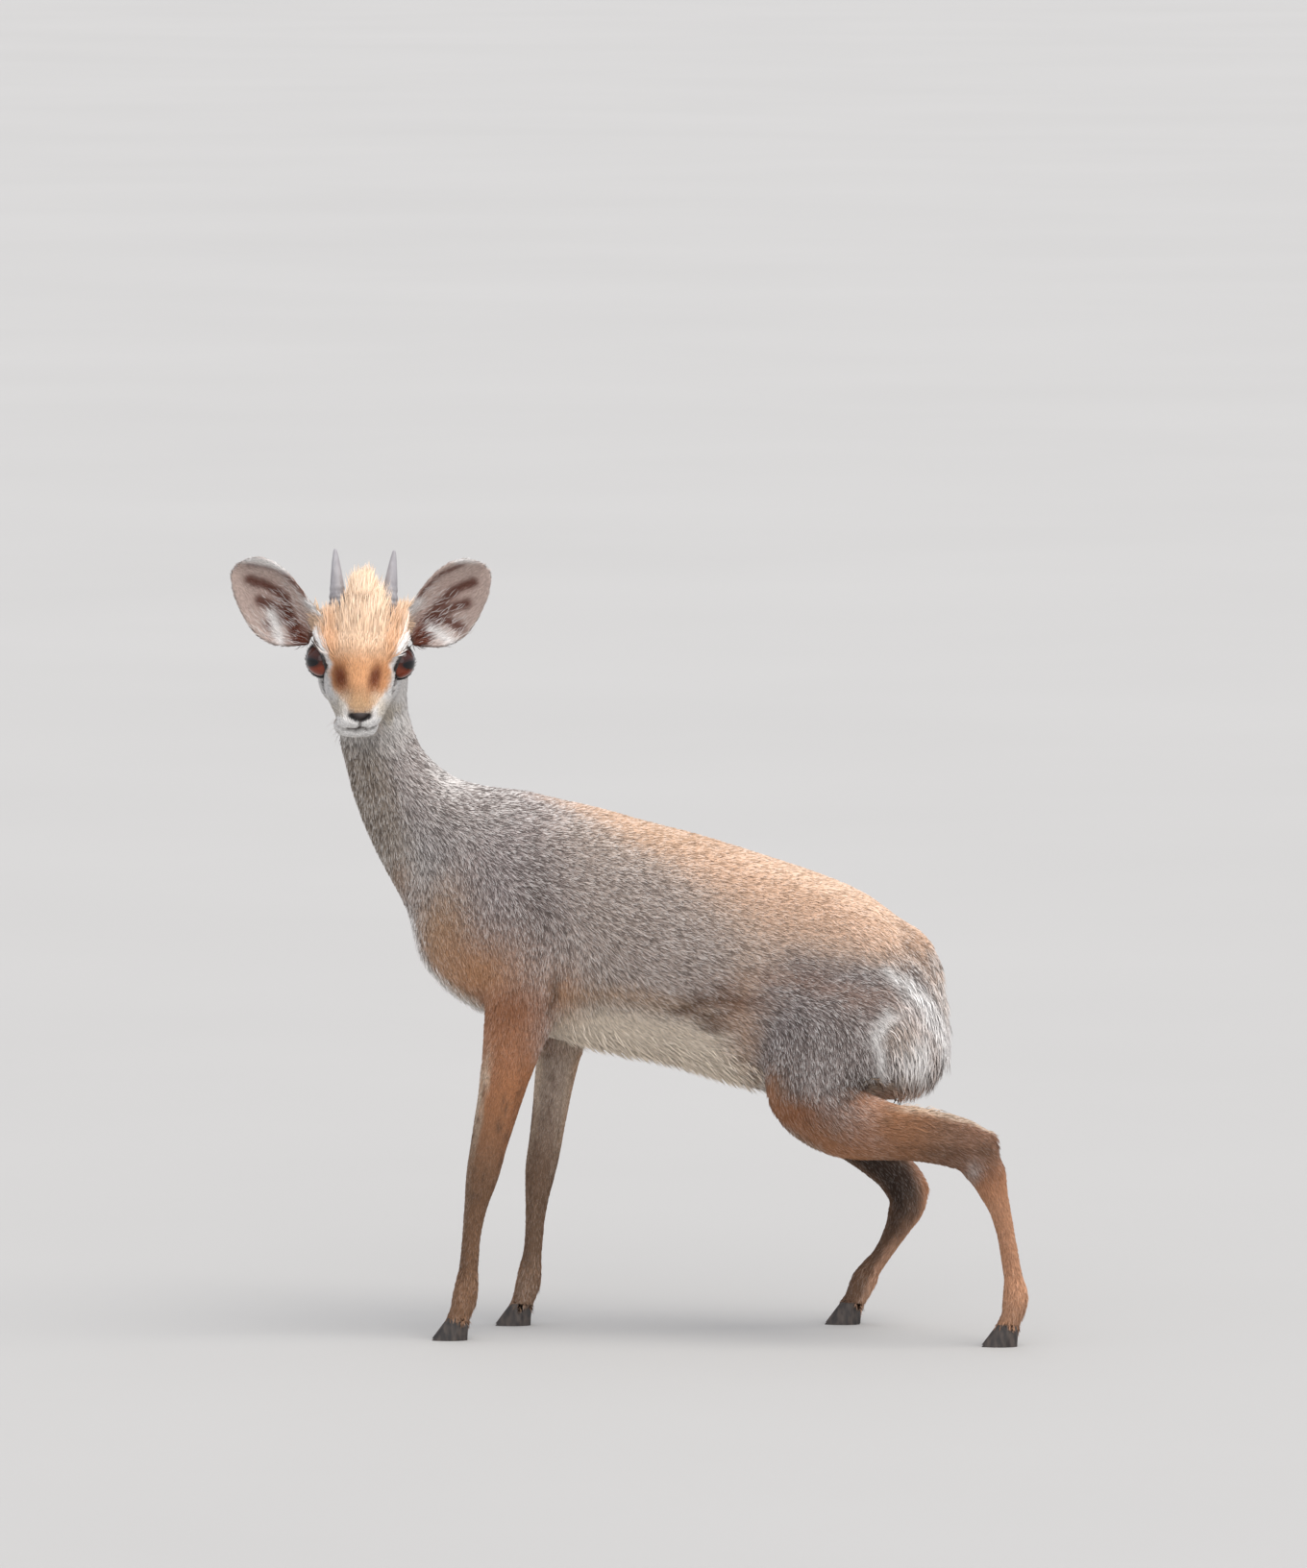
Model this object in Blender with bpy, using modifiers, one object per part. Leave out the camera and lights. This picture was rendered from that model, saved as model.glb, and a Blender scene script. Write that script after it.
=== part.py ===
"""A life-size still model of a male dik-dik, standing with one hind leg stretched behind it.

The trunk runs along X with the chest towards -X, and the head is turned to look out along -Y.
Sizes are in millimetres in the tables below and become metres through MM.
"""

import math

import bpy
import bmesh
from mathutils import Matrix, Vector

MM = 0.001
CUT_GAP = 0.6 * MM
FIT_GAP = 0.4 * MM

WITHERS_HEIGHT = 365.0
TRUNK_YAW = math.radians(7.0)
NECK_BEND_HEIGHT = 385.0
NECK_BEND = 13.0
HEAD_PITCH = math.radians(32.0)
HEAD_YAW = math.radians(-1.0)
HEAD_ROLL = math.radians(2.0)
EYE_LINE = Vector((-184.6, -18.0, 459.6)) * MM
EYE_RADIUS = 11.5
EYE_SPREAD = 25.0
HORN_ROOT = (-13.0, 16.0, 22.0)
HORN_TIP = (-47.5, 20.0, 58.5)
HORN_SHIFT = 0.9
HORN_RADIUS = 5.6
HORN_TIP_RADIUS = 0.7
HORN_BOW = 3.0
EAR_LENGTH = 70.0
EAR_WALL = 2.2
HOOF_LENGTH = 24.0
HOOF_HEIGHT = 15.0
HOOF_WIDTH = 8.4
HOOF_SETBACK = 2.0
HOOF_SPLAY = 0.10

BODY_VOXEL = 2.4 * MM
HEAD_TRIANGLES = 1600
REST_TRIANGLES = 2500

# Each row is a slice: top x, top z, bottom x, bottom z, half width, squareness, sag of the widest point.
TRUNK_ROWS = [
    (-164, 480, -198, 468, 13, 1.00, 0.00),
    (-153, 461, -204, 442, 23.5, 1.00, 0.00),
    (-153, 439, -202, 414, 25.5, 1.00, 0.00),
    (-152, 418, -197, 391, 27, 1.00, 0.00),
    (-143, 396, -188, 358, 29, 1.00, 0.00),
    (-124, 379, -173, 323, 32, 0.97, 0.05),
    (-99, 372, -154, 288, 36, 0.94, 0.10),
    (-78, 370, -144, 254, 40, 0.90, 0.12),
    (-55, WITHERS_HEIGHT, -118, 227, 43, 0.88, 0.12),
    (-26, 359, -72, 206, 46, 0.87, 0.14),
    (6, 350.5, -20, 194, 49, 0.88, 0.16),
    (46, 340.5, 29, 184, 50, 0.90, 0.16),
    (84, 329, 75, 170, 48, 0.92, 0.12),
    (120, 317.5, 120, 160, 46, 0.92, 0.02),
    (153, 304, 156, 160, 45, 0.92, -0.06),
    (174, 292, 178, 163, 41, 0.94, -0.06),
    (190, 277, 193, 168, 34, 0.98, 0.00),
    (202, 256, 203, 175, 27, 1.00, 0.00),
    (209, 237, 212, 190, 18, 1.00, 0.00),
]

# Each row is a joint: x, y, z, half size fore and aft, half size across.
LIMBS = {
    "foreleg_left": [
        (-58, -14, 300, 30, 20),
        (-66, -20, 262, 33, 22),
        (-77, -26, 222, 26, 18),
        (-84, -29, 194, 19.5, 15),
        (-90, -31, 167, 15.5, 13),
        (-98, -32, 134, 12.8, 11),
        (-102.5, -32, 112, 11.4, 10.6),
        (-106, -32, 96, 9.3, 8.8),
        (-109.5, -32, 74, 7.2, 7.2),
        (-112, -32, 48, 7.4, 7.4),
        (-114, -32, 32, 9.2, 9),
        (-117, -32, 20, 8, 8.8),
        (-121, -32, 9, 9.2, 9.4),
    ],
    "foreleg_right": [
        (-42, 32, 292, 30, 20),
        (-46, 38, 252, 32, 21),
        (-49, 42, 212, 23, 17),
        (-52, 45, 185, 15.5, 14),
        (-56, 46, 158, 12.8, 12),
        (-61, 47, 124, 11.4, 10.8),
        (-64, 47, 106, 11, 10.6),
        (-66, 47, 90, 9, 8.8),
        (-68, 47, 68, 7.2, 7.2),
        (-70, 47, 46, 7.4, 7.4),
        (-72, 47, 32, 9.2, 9),
        (-75, 47, 20, 8, 8.8),
        (-79, 47, 9, 9.2, 9.4),
    ],
    "hindleg_left": [
        (158, -38, 250, 44, 24),
        (140, -46, 212, 47, 26),
        (126, -54, 177, 40, 24),
        (137, -60, 156, 29, 20),
        (160, -63, 147, 22.5, 16),
        (184, -65, 142.5, 17.8, 13),
        (206, -66, 138.5, 16.6, 11.5),
        (224, -66, 133, 16, 10.8),
        (236, -66, 120, 14.5, 10.2),
        (242, -66, 104, 10.4, 9),
        (247, -66, 90, 7.8, 7.6),
        (251, -66, 72, 6.8, 7),
        (255, -66, 48, 7.2, 7.4),
        (257, -66, 33, 9.2, 9),
        (254, -66, 20, 8, 8.8),
        (250, -66, 9, 9.2, 9.4),
    ],
    "hindleg_right": [
        (156, 0, 246, 44, 24),
        (134, 12, 208, 45, 25),
        (112, 22, 176, 36, 22),
        (121, 30, 156, 27, 18),
        (142, 36, 137, 20, 15),
        (162, 40, 120, 16.5, 13),
        (177, 42, 106, 15.5, 11.5),
        (186, 43, 93, 15, 10.5),
        (185, 44, 80, 13, 10),
        (179, 46, 66, 9, 8.6),
        (170, 49, 50, 7.2, 7.4),
        (162, 51, 39, 7.8, 7.8),
        (157, 52, 31, 9.2, 9),
        (152, 53, 20, 8, 8.8),
        (146, 53, 9, 9.2, 9.4),
    ],
}

# Each row is a slice of the skull: forward, crown height, jaw height, half width, squareness.
SKULL_ROWS = [
    (-52, 14, -30, 17, 1.00),
    (-44, 23, -36, 24, 0.98),
    (-32, 28, -38, 28, 0.98),
    (-18, 30, -38, 30, 0.96),
    (-4, 27, -37, 30, 0.92),
    (8, 21, -35, 27.5, 0.90),
    (20, 14.5, -33, 23.5, 0.90),
    (32, 10, -31, 19.5, 0.90),
    (43, 7, -29.5, 17, 0.88),
    (52, 4.5, -28, 15.8, 0.86),
    (59, 1.5, -25, 14, 0.86),
    (64, -3, -19, 9.5, 0.92),
]

# Rounded masses: name, centre, radii. Body masses are in the model's frame, head masses in the skull's.
BODY_MASSES = [
    ("shoulder_left", (-74, -22, 270), (38, 18, 52)),
    ("shoulder_right", (-56, 34, 262), (38, 18, 52)),
    ("haunch_left", (156, -42, 222), (50, 22, 52)),
    ("haunch_right", (156, 6, 222), (50, 22, 52)),
    ("hock_point_left", (240, -66, 140), (8, 6, 8)),
    ("hock_point_right", (194, 43, 95), (8, 6, 8)),
]
HEAD_MASSES = [
    ("brow", (-3, 25, 14), (17, 9, 7)),
    ("cheek", (-10, 18, -20), (24, 11, 17)),
    ("nostril_wing", (55, 9, -9), (8, 6.5, 7)),
    ("upper_lip", (50, 8, -18), (13, 8, 8)),
    ("ear_root", (-32, 23, 8), (12, 11, 12)),
    ("nape", (-40, 7, -12), (13, 19, 26)),
]

# The planes that part the animal: where each one lies, which way it faces, and half sizes of its box.
HEAD_CUT_FACE = (8, 0, -38.5)
HEAD_CUT_BOX = (100, 110, 110)
NECK_CUT_FACE = (-126, 15, 328)
NECK_CUT_TURN = -32.5
NECK_CUT_BOX = (60, 80, 120)
ELBOW_CUT_HEIGHT = 191.0
CARPUS_CUT_HEIGHT = 101.0
FORE_CUTS = [
    ("foreleg_left", -97, -32, 42),
    ("foreleg_right", -64, 46, 35),
]
FORE_BOX_DEPTH = (30, 200)
CARPUS_BOX = (60, 40, 120)
HAM_SLOPE = 58.0
HAM_BOX = (108, 112, 190)
HOCK_BOX = (50, 30, 130)
HIND_CUTS = [
    ("hindleg_left", -1, (182, -45, 205), ((160, -66, 142), 92.0, (26, 26, 60)), (245, -66, 113)),
    ("hindleg_right", 1, (182, -1, 205), ((138, 35, 140), 132.0, (26, 25, 52)), (178, 47, 84)),
]
FOOT_HEADINGS = {
    "foreleg_left": 180.0,
    "foreleg_right": 180.0,
    "hindleg_left": 178.0,
    "hindleg_right": 176.0,
}

# Each row is a slice of the ear: distance out along it, reach towards the crown and towards the cheek.
EAR_ROWS = [
    (0.0, 9, 10),
    (7, 11, 17),
    (17, 13, 25),
    (29, 17, 27.5),
    (41, 20, 24.5),
    (53, 20, 18.5),
    (62, 16.5, 12.5),
    (67, 10.5, 7.5),
    (EAR_LENGTH, 3.4, 3),
]
# Where each ear starts and ends, in the skull's frame, with the left one first.
EAR_ROOTS = ((-30, 29, 5.5), (-30, -29, 4))
EAR_TIPS = ((-44, 84, 46.5), (-44, -84, 40))
EAR_FACING = (0.85, 0.15, 0.50)
EAR_ROLL_OPEN = 50.0
EAR_ROLL_ROOT = 45.0
EAR_CUP = 5.0

# Each row is a slice of the forehead tuft: forward, up, half size fore and aft, half size across.
CREST_ROWS = [
    (-9, 20, 12, 13.5),
    (-15, 33, 11, 13.2),
    (-19, 41, 10, 12.3),
    (-22.5, 48, 8.5, 11.3),
    (-25.5, 53.5, 6.5, 9.2),
    (-27.5, 57, 4, 5.6),
    (-28.5, 58.8, 1.8, 2),
]
TAIL_ROWS = [
    (178, -24, 280, 7, 8),
    (189, -25, 278, 7.5, 9),
    (196, -26, 268, 7.5, 10),
    (201, -27, 255, 7, 10),
    (203, -28, 243, 6, 8.5),
    (204.5, -28, 234, 3.2, 5),
]


def material(name, colour, roughness):
    """A plain Principled finish in the part's own colour."""
    made = bpy.data.materials.new(name)
    made.use_nodes = True
    shader = made.node_tree.nodes["Principled BSDF"]
    shader.inputs["Base Color"].default_value = (*colour, 1.0)
    shader.inputs["Roughness"].default_value = roughness
    shader.inputs["Metallic"].default_value = 0.0
    made.diffuse_color = (*colour, 1.0)
    return made


def clear_scene():
    for old in list(bpy.data.objects):
        bpy.data.objects.remove(old)


def in_collection(name):
    made = bpy.data.collections.new(name)
    bpy.context.scene.collection.children.link(made)
    return made


def as_object(name, bm, collection):
    """A new object from a bmesh, with its faces turned outwards."""
    bmesh.ops.recalc_face_normals(bm, faces=bm.faces)
    mesh = bpy.data.meshes.new(name)
    bm.to_mesh(mesh)
    bm.free()
    made = bpy.data.objects.new(name, mesh)
    collection.objects.link(made)
    return made


def helper(name, bm):
    """A cutter or building block, which is left out of the finished model."""
    made = as_object(name, bm, helpers)
    made.hide_render = True
    made.display_type = "WIRE"
    return made


def between(rows, steps):
    """The rows with Catmull-Rom rows put in between them, so that few sections give a smooth form."""
    found = []
    for i in range(len(rows) - 1):
        before = rows[max(i - 1, 0)]
        start, end = rows[i], rows[i + 1]
        after = rows[min(i + 2, len(rows) - 1)]
        for k in range(steps):
            t = k / steps
            row = []
            for p, a, b, n in zip(before, start, end, after):
                bend = (b - p) * t + (2 * p - 5 * a + 4 * b - n) * t**2 + (3 * a - p - 3 * b + n) * t**3
                row.append(a + 0.5 * bend)
            found.append(tuple(row))
    found.append(tuple(rows[-1]))
    return found


def rounded(angle, squareness):
    """Cosine and sine of a superellipse: a squareness of 1 is round, and less is fuller."""
    c, s = math.cos(angle), math.sin(angle)
    return (
        math.copysign(abs(c) ** squareness, c),
        math.copysign(abs(s) ** squareness, s),
    )


def loft(bm, rings):
    """Joins rings of equally many points with quads and closes both ends with a fan."""
    made = [[bm.verts.new(p) for p in ring] for ring in rings]
    count = len(made[0])
    for first, second in zip(made, made[1:]):
        for i in range(count):
            j = (i + 1) % count
            bm.faces.new((first[i], first[j], second[j], second[i]))
    for ring in (made[0], made[-1]):
        middle = bm.verts.new(sum((v.co for v in ring), Vector()) / count)
        for i in range(count):
            bm.faces.new((ring[i], ring[(i + 1) % count], middle))


def body_middle(x, z):
    """The y of the middle plane, turned a little away from the X axis and bent under the skull."""
    bend = max(0.0, z - NECK_BEND_HEIGHT) / (EYE_LINE.z / MM - NECK_BEND_HEIGHT)
    return -math.tan(TRUNK_YAW) * x - NECK_BEND * bend**1.5


def trunk_ring(row, points=28):
    """A slice of neck or trunk between a point on the back and a point on the belly."""
    top_x, top_z, low_x, low_z, half_width, squareness, sag = row
    top = Vector((top_x, 0, top_z))
    low = Vector((low_x, 0, low_z))
    middle, up = (top + low) / 2, (top - low) / 2
    across = Vector((math.sin(TRUNK_YAW), math.cos(TRUNK_YAW), 0))
    middle.y = body_middle(middle.x, middle.z)
    ring = []
    for i in range(points):
        c, s = rounded(2 * math.pi * i / points, squareness)
        ring.append((middle + up * (c - sag * s * s) + across * (half_width * s)) * MM)
    return ring


def limb_rings(rows, points=16):
    """Elliptical slices across a leg or tail, square to its path."""
    rings = []
    for i, (x, y, z, fore, side) in enumerate(rows):
        ahead = Vector(rows[min(i + 1, len(rows) - 1)][:3])
        behind = Vector(rows[max(i - 1, 0)][:3])
        along = (ahead - behind).normalized()
        across = Vector((0, 1, 0))
        across = (across - along * across.dot(along)).normalized()
        front = along.cross(across)
        ring = []
        for k in range(points):
            angle = 2 * math.pi * k / points
            offset = front * fore * math.cos(angle) + across * side * math.sin(angle)
            ring.append((Vector((x, y, z)) + offset) * MM)
        rings.append(ring)
    return rings


def head_frame():
    """The matrix from the skull's forward, left and up, with its origin midway between the eyes."""
    pitch, yaw = HEAD_PITCH, HEAD_YAW
    forward = Vector((-math.sin(yaw) * math.cos(pitch), -math.cos(yaw) * math.cos(pitch), -math.sin(pitch)))
    left = Vector((math.cos(yaw), -math.sin(yaw), 0))
    up = forward.cross(left)
    rolled_up = up * math.cos(HEAD_ROLL) + left * math.sin(HEAD_ROLL)
    rolled_left = left * math.cos(HEAD_ROLL) - up * math.sin(HEAD_ROLL)
    turned = Matrix((forward, rolled_left, rolled_up)).transposed().to_4x4()
    return Matrix.Translation(EYE_LINE) @ turned


def skull_ring(row, points=28):
    """A slice across the head, in the skull's frame."""
    forward, crown, jaw, half_width, squareness = row
    middle, half = (crown + jaw) / 2, (crown - jaw) / 2
    ring = []
    for i in range(points):
        c, s = rounded(2 * math.pi * i / points, squareness)
        ring.append(HEAD @ (Vector((forward, half_width * s, middle + half * c)) * MM))
    return ring


def ellipsoid(bm, centre, radii, frame):
    """A rounded mass, placed in a frame."""
    place = frame @ Matrix.Translation(Vector(centre) * MM) @ Matrix.Diagonal((*(Vector(radii) * MM), 1))
    bmesh.ops.create_uvsphere(bm, u_segments=20, v_segments=14, radius=1, matrix=place)


def evaluated_copy(source, name, collection):
    """A plain mesh object of what the source's modifiers make."""
    graph = bpy.context.evaluated_depsgraph_get()
    mesh = bpy.data.meshes.new_from_object(source.evaluated_get(graph))
    mesh.name = name
    made = bpy.data.objects.new(name, mesh)
    made.matrix_world = source.matrix_world
    collection.objects.link(made)
    return made


def with_boolean(source, cutter, operation, name, collection):
    """The source joined with, cut by or kept within the cutter, as a new object."""
    modifier = source.modifiers.new(operation.title(), "BOOLEAN")
    modifier.operation = operation
    modifier.object = cutter
    modifier.solver = "EXACT"
    bpy.context.view_layer.update()
    made = evaluated_copy(source, name, collection)
    source.modifiers.remove(modifier)
    return made


def as_helper(obj):
    obj.hide_render = True
    obj.display_type = "WIRE"
    return obj


def whole_body():
    """Trunk, neck, head and legs as overlapping forms, made one skin and softened at every join."""
    bm = bmesh.new()
    loft(bm, [trunk_ring(row) for row in between(TRUNK_ROWS, 3)])
    loft(bm, [skull_ring(row) for row in between(SKULL_ROWS, 3)])
    for rows in LIMBS.values():
        loft(bm, limb_rings(between(rows, 4)))
    for _, centre, radii in BODY_MASSES:
        ellipsoid(bm, centre, radii, Matrix.Identity(4))
    for _, (forward, side, up), radii in HEAD_MASSES:
        for hand in (1, -1):
            ellipsoid(bm, (forward, hand * side, up), radii, HEAD)
    body = helper("whole_body", bm)
    remesh = body.modifiers.new("Remesh", "REMESH")
    remesh.mode = "VOXEL"
    remesh.voxel_size = BODY_VOXEL
    smooth = body.modifiers.new("Smooth", "SMOOTH")
    smooth.factor = 0.5
    smooth.iterations = 9
    bpy.context.view_layer.update()
    return as_helper(evaluated_copy(body, "body_form", helpers))


def half_space(name, face_centre, turn, half_sizes, grow=0.0):
    """A box whose bottom face is the dividing plane. Grown a little, it leaves the gap beside a piece."""
    bm = bmesh.new()
    across, deep, high = (2 * (half * MM + grow) for half in half_sizes)
    up_by_half = Matrix.Translation((0, 0, half_sizes[2] * MM))
    place = Matrix.Translation(Vector(face_centre) * MM) @ turn @ up_by_half
    scale = Matrix.Diagonal((across, deep, high, 1))
    bmesh.ops.create_cube(bm, size=1, matrix=place @ scale)
    return helper(name, bm)


def divide(source, name, face_centre, turn, half_sizes):
    """Parts the source at a plane into the piece inside the box and what is left outside it."""
    inside = half_space(name + "_cutter", face_centre, turn, half_sizes)
    outside = half_space(name + "_gap", face_centre, turn, half_sizes, CUT_GAP)
    piece = as_helper(with_boolean(source, inside, "INTERSECT", name + "_form", helpers))
    rest = as_helper(with_boolean(source, outside, "DIFFERENCE", source.name + "_rest", helpers))
    return piece, rest


def simplified(source, triangles):
    """The source with about this many triangles, closer together where it curves more."""
    source.data.calc_loop_triangles()
    modifier = source.modifiers.new("Decimate", "DECIMATE")
    modifier.ratio = min(1.0, triangles / len(source.data.loop_triangles))
    modifier.use_collapse_triangulate = True
    bpy.context.view_layer.update()
    made = as_helper(evaluated_copy(source, source.name + "_light", helpers))
    source.modifiers.remove(modifier)
    return made


def grown(source, gap):
    """A copy of a piece a little larger all over, to cut its neighbour with room to spare."""
    modifier = source.modifiers.new("Grow", "DISPLACE")
    modifier.strength = gap
    modifier.mid_level = 0.0
    bpy.context.view_layer.update()
    made = as_helper(evaluated_copy(source, source.name + "_grown", helpers))
    source.modifiers.remove(modifier)
    return made


def finish(source, name, look):
    """The object that stands for one named part of the animal."""
    made = evaluated_copy(source, name, animal)
    made.hide_render = False
    made.data.materials.clear()
    made.data.materials.append(look)
    made.data.shade_smooth()
    made.data.set_sharp_from_angle(angle=math.radians(45))
    return made


def stand_at_origin():
    """Moves the animal so that the middle of the ground under it is the origin."""
    corners = [v.co for obj in animal.objects for v in obj.data.vertices]
    low = [min(c[i] for c in corners) for i in range(3)]
    high = [max(c[i] for c in corners) for i in range(3)]
    shift = Matrix.Translation((-(low[0] + high[0]) / 2, -(low[1] + high[1]) / 2, -low[2]))
    for obj in animal.objects:
        obj.data.transform(shift)


def sphere(name, centre, radius, frame, gap=0.0):
    bm = bmesh.new()
    place = frame @ Matrix.Translation(Vector(centre) * MM)
    bmesh.ops.create_uvsphere(bm, u_segments=14, v_segments=8, radius=radius * MM + gap, matrix=place)
    return helper(name, bm)


def ear_surface(hand):
    """The ear as an open cupped leaf: rolled in at its root, broad in the middle, blunt at its tip."""
    side_index = 0 if hand > 0 else 1
    root = Vector(EAR_ROOTS[side_index])
    along = (Vector(EAR_TIPS[side_index]) - root).normalized()
    facing = Vector((EAR_FACING[0], hand * EAR_FACING[1], EAR_FACING[2]))
    facing = (facing - along * facing.dot(along)).normalized()
    crownward = facing.cross(along) * hand
    width_steps = 6
    bm = bmesh.new()
    grid = []
    for out, to_crown, to_cheek in between(EAR_ROWS, 2):
        s = out / EAR_LENGTH
        half_width = (to_crown + to_cheek) / 2
        roll = math.radians(EAR_ROLL_OPEN + EAR_ROLL_ROOT * max(0.0, 1 - s / 0.4) ** 1.5)
        radius = half_width / math.sin(min(roll, math.pi / 2))
        spine = root + along * out + crownward * ((to_crown - to_cheek) / 2)
        spine -= facing * (EAR_CUP * math.sin(math.pi * s))
        row = []
        for k in range(width_steps + 1):
            bend = roll * (2 * k / width_steps - 1)
            side = crownward * (radius * math.sin(bend))
            cup = facing * (radius * (1 - math.cos(bend)))
            row.append(bm.verts.new(HEAD @ ((spine + side + cup) * MM)))
        grid.append(row)
    for first, second in zip(grid, grid[1:]):
        for k in range(width_steps):
            bm.faces.new((first[k], first[k + 1], second[k + 1], second[k]))
    made = helper("ear_surface", bm)
    wall = made.modifiers.new("Wall", "SOLIDIFY")
    wall.thickness = EAR_WALL * MM
    wall.offset = 0.0
    bpy.context.view_layer.update()
    return as_helper(evaluated_copy(made, "ear_form", helpers))


def horn_form(hand):
    """A short spike, ringed at its root, that leans back in line with the face."""
    root = Vector((HORN_ROOT[0], hand * HORN_ROOT[1] + HORN_SHIFT, HORN_ROOT[2]))
    tip = Vector((HORN_TIP[0], hand * HORN_TIP[1] + HORN_SHIFT, HORN_TIP[2]))
    along = (tip - root).normalized()
    side = Vector((0, 1, 0))
    side = (side - along * side.dot(along)).normalized()
    front = along.cross(side)
    steps, points = 8, 8
    rings = []
    for i in range(steps + 1):
        s = i / steps
        radius = HORN_RADIUS * (1 - s) ** 0.6 + HORN_TIP_RADIUS
        middle = root.lerp(tip, s) + front * (HORN_BOW * s * (1 - s))
        ring = []
        for k in range(points):
            angle = 2 * math.pi * k / points
            offset = (side * math.cos(angle) + front * math.sin(angle)) * radius
            ring.append(HEAD @ ((middle + offset) * MM))
        rings.append(ring)
    bm = bmesh.new()
    loft(bm, rings)
    return helper("horn_form", bm)


def crest_form():
    """The upright tuft of hair on the forehead, between the horns."""
    rings = []
    for forward, up, fore, side in between(CREST_ROWS, 2):
        ring = []
        for k in range(10):
            angle = 2 * math.pi * k / 10
            offset = Vector((fore * math.cos(angle), side * math.sin(angle), 0.5 * fore * math.cos(angle)))
            ring.append(HEAD @ ((Vector((forward, 0, up)) + offset) * MM))
        rings.append(ring)
    bm = bmesh.new()
    loft(bm, rings)
    return helper("crest_form", bm)


def tail_form():
    bm = bmesh.new()
    loft(bm, limb_rings(between(TAIL_ROWS, 2), 10))
    return helper("tail_form", bm)


def claw(name, toe_root, heading, side, grow=0.0):
    """One half of a cloven hoof: a pointed almond sole, with its wall sloping back to the coronet."""
    forward = Vector((math.cos(heading), math.sin(heading), 0))
    across = Vector((-math.sin(heading), math.cos(heading), 0))
    levels, points = 2, 10
    rings = []
    for i in range(levels + 1):
        h = i / levels
        toe = HOOF_LENGTH * (0.58 - 0.46 * h)
        heel = -HOOF_LENGTH * (0.42 + 0.02 * math.sin(math.pi * h))
        half = HOOF_WIDTH / 2 * (1 - 0.12 * h) + grow / MM
        height = HOOF_HEIGHT * h - (grow / MM if i == 0 else 0) + (grow / MM if i == levels else 0)
        ring = []
        for k in range(points):
            angle = 2 * math.pi * k / points
            run = (math.cos(angle) + 1) / 2
            ahead = heel - grow / MM + (toe - heel + 2 * grow / MM) * run
            taper = 1 - 0.55 * max(0.0, run - 0.45) ** 1.3 / 0.55**1.3
            out = half * math.sin(angle) * taper
            aside = side * (HOOF_WIDTH * 0.56 + HOOF_SPLAY * ahead)
            point = forward * ahead + across * (aside + out)
            ring.append((Vector(toe_root) + point + Vector((0, 0, height))) * MM)
        rings.append(ring)
    bm = bmesh.new()
    loft(bm, rings)
    return helper(name, bm)


def hooves(limb_name, heading):
    """Both claws of a foot, and larger copies that cut their seat in the pastern."""
    x, y = LIMBS[limb_name][-1][:2]
    root = (x + HOOF_SETBACK * math.cos(heading), y, 0)
    solids = {}
    outer = 1 if "left" in limb_name else -1
    for side, word in ((-outer, "inner"), (outer, "outer")):
        name = limb_name.replace("leg", "hoof") + "_" + word
        solids[name] = (
            claw(name + "_form", root, heading, side),
            claw(name + "_seat", root, heading, side, FIT_GAP),
        )
    return solids


def turn(about_x=0.0, about_y=0.0):
    """A rotation in degrees, about Y first and then X."""
    about_x, about_y = math.radians(about_x), math.radians(about_y)
    return Matrix.Rotation(about_x, 4, "X") @ Matrix.Rotation(about_y, 4, "Y")


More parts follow.
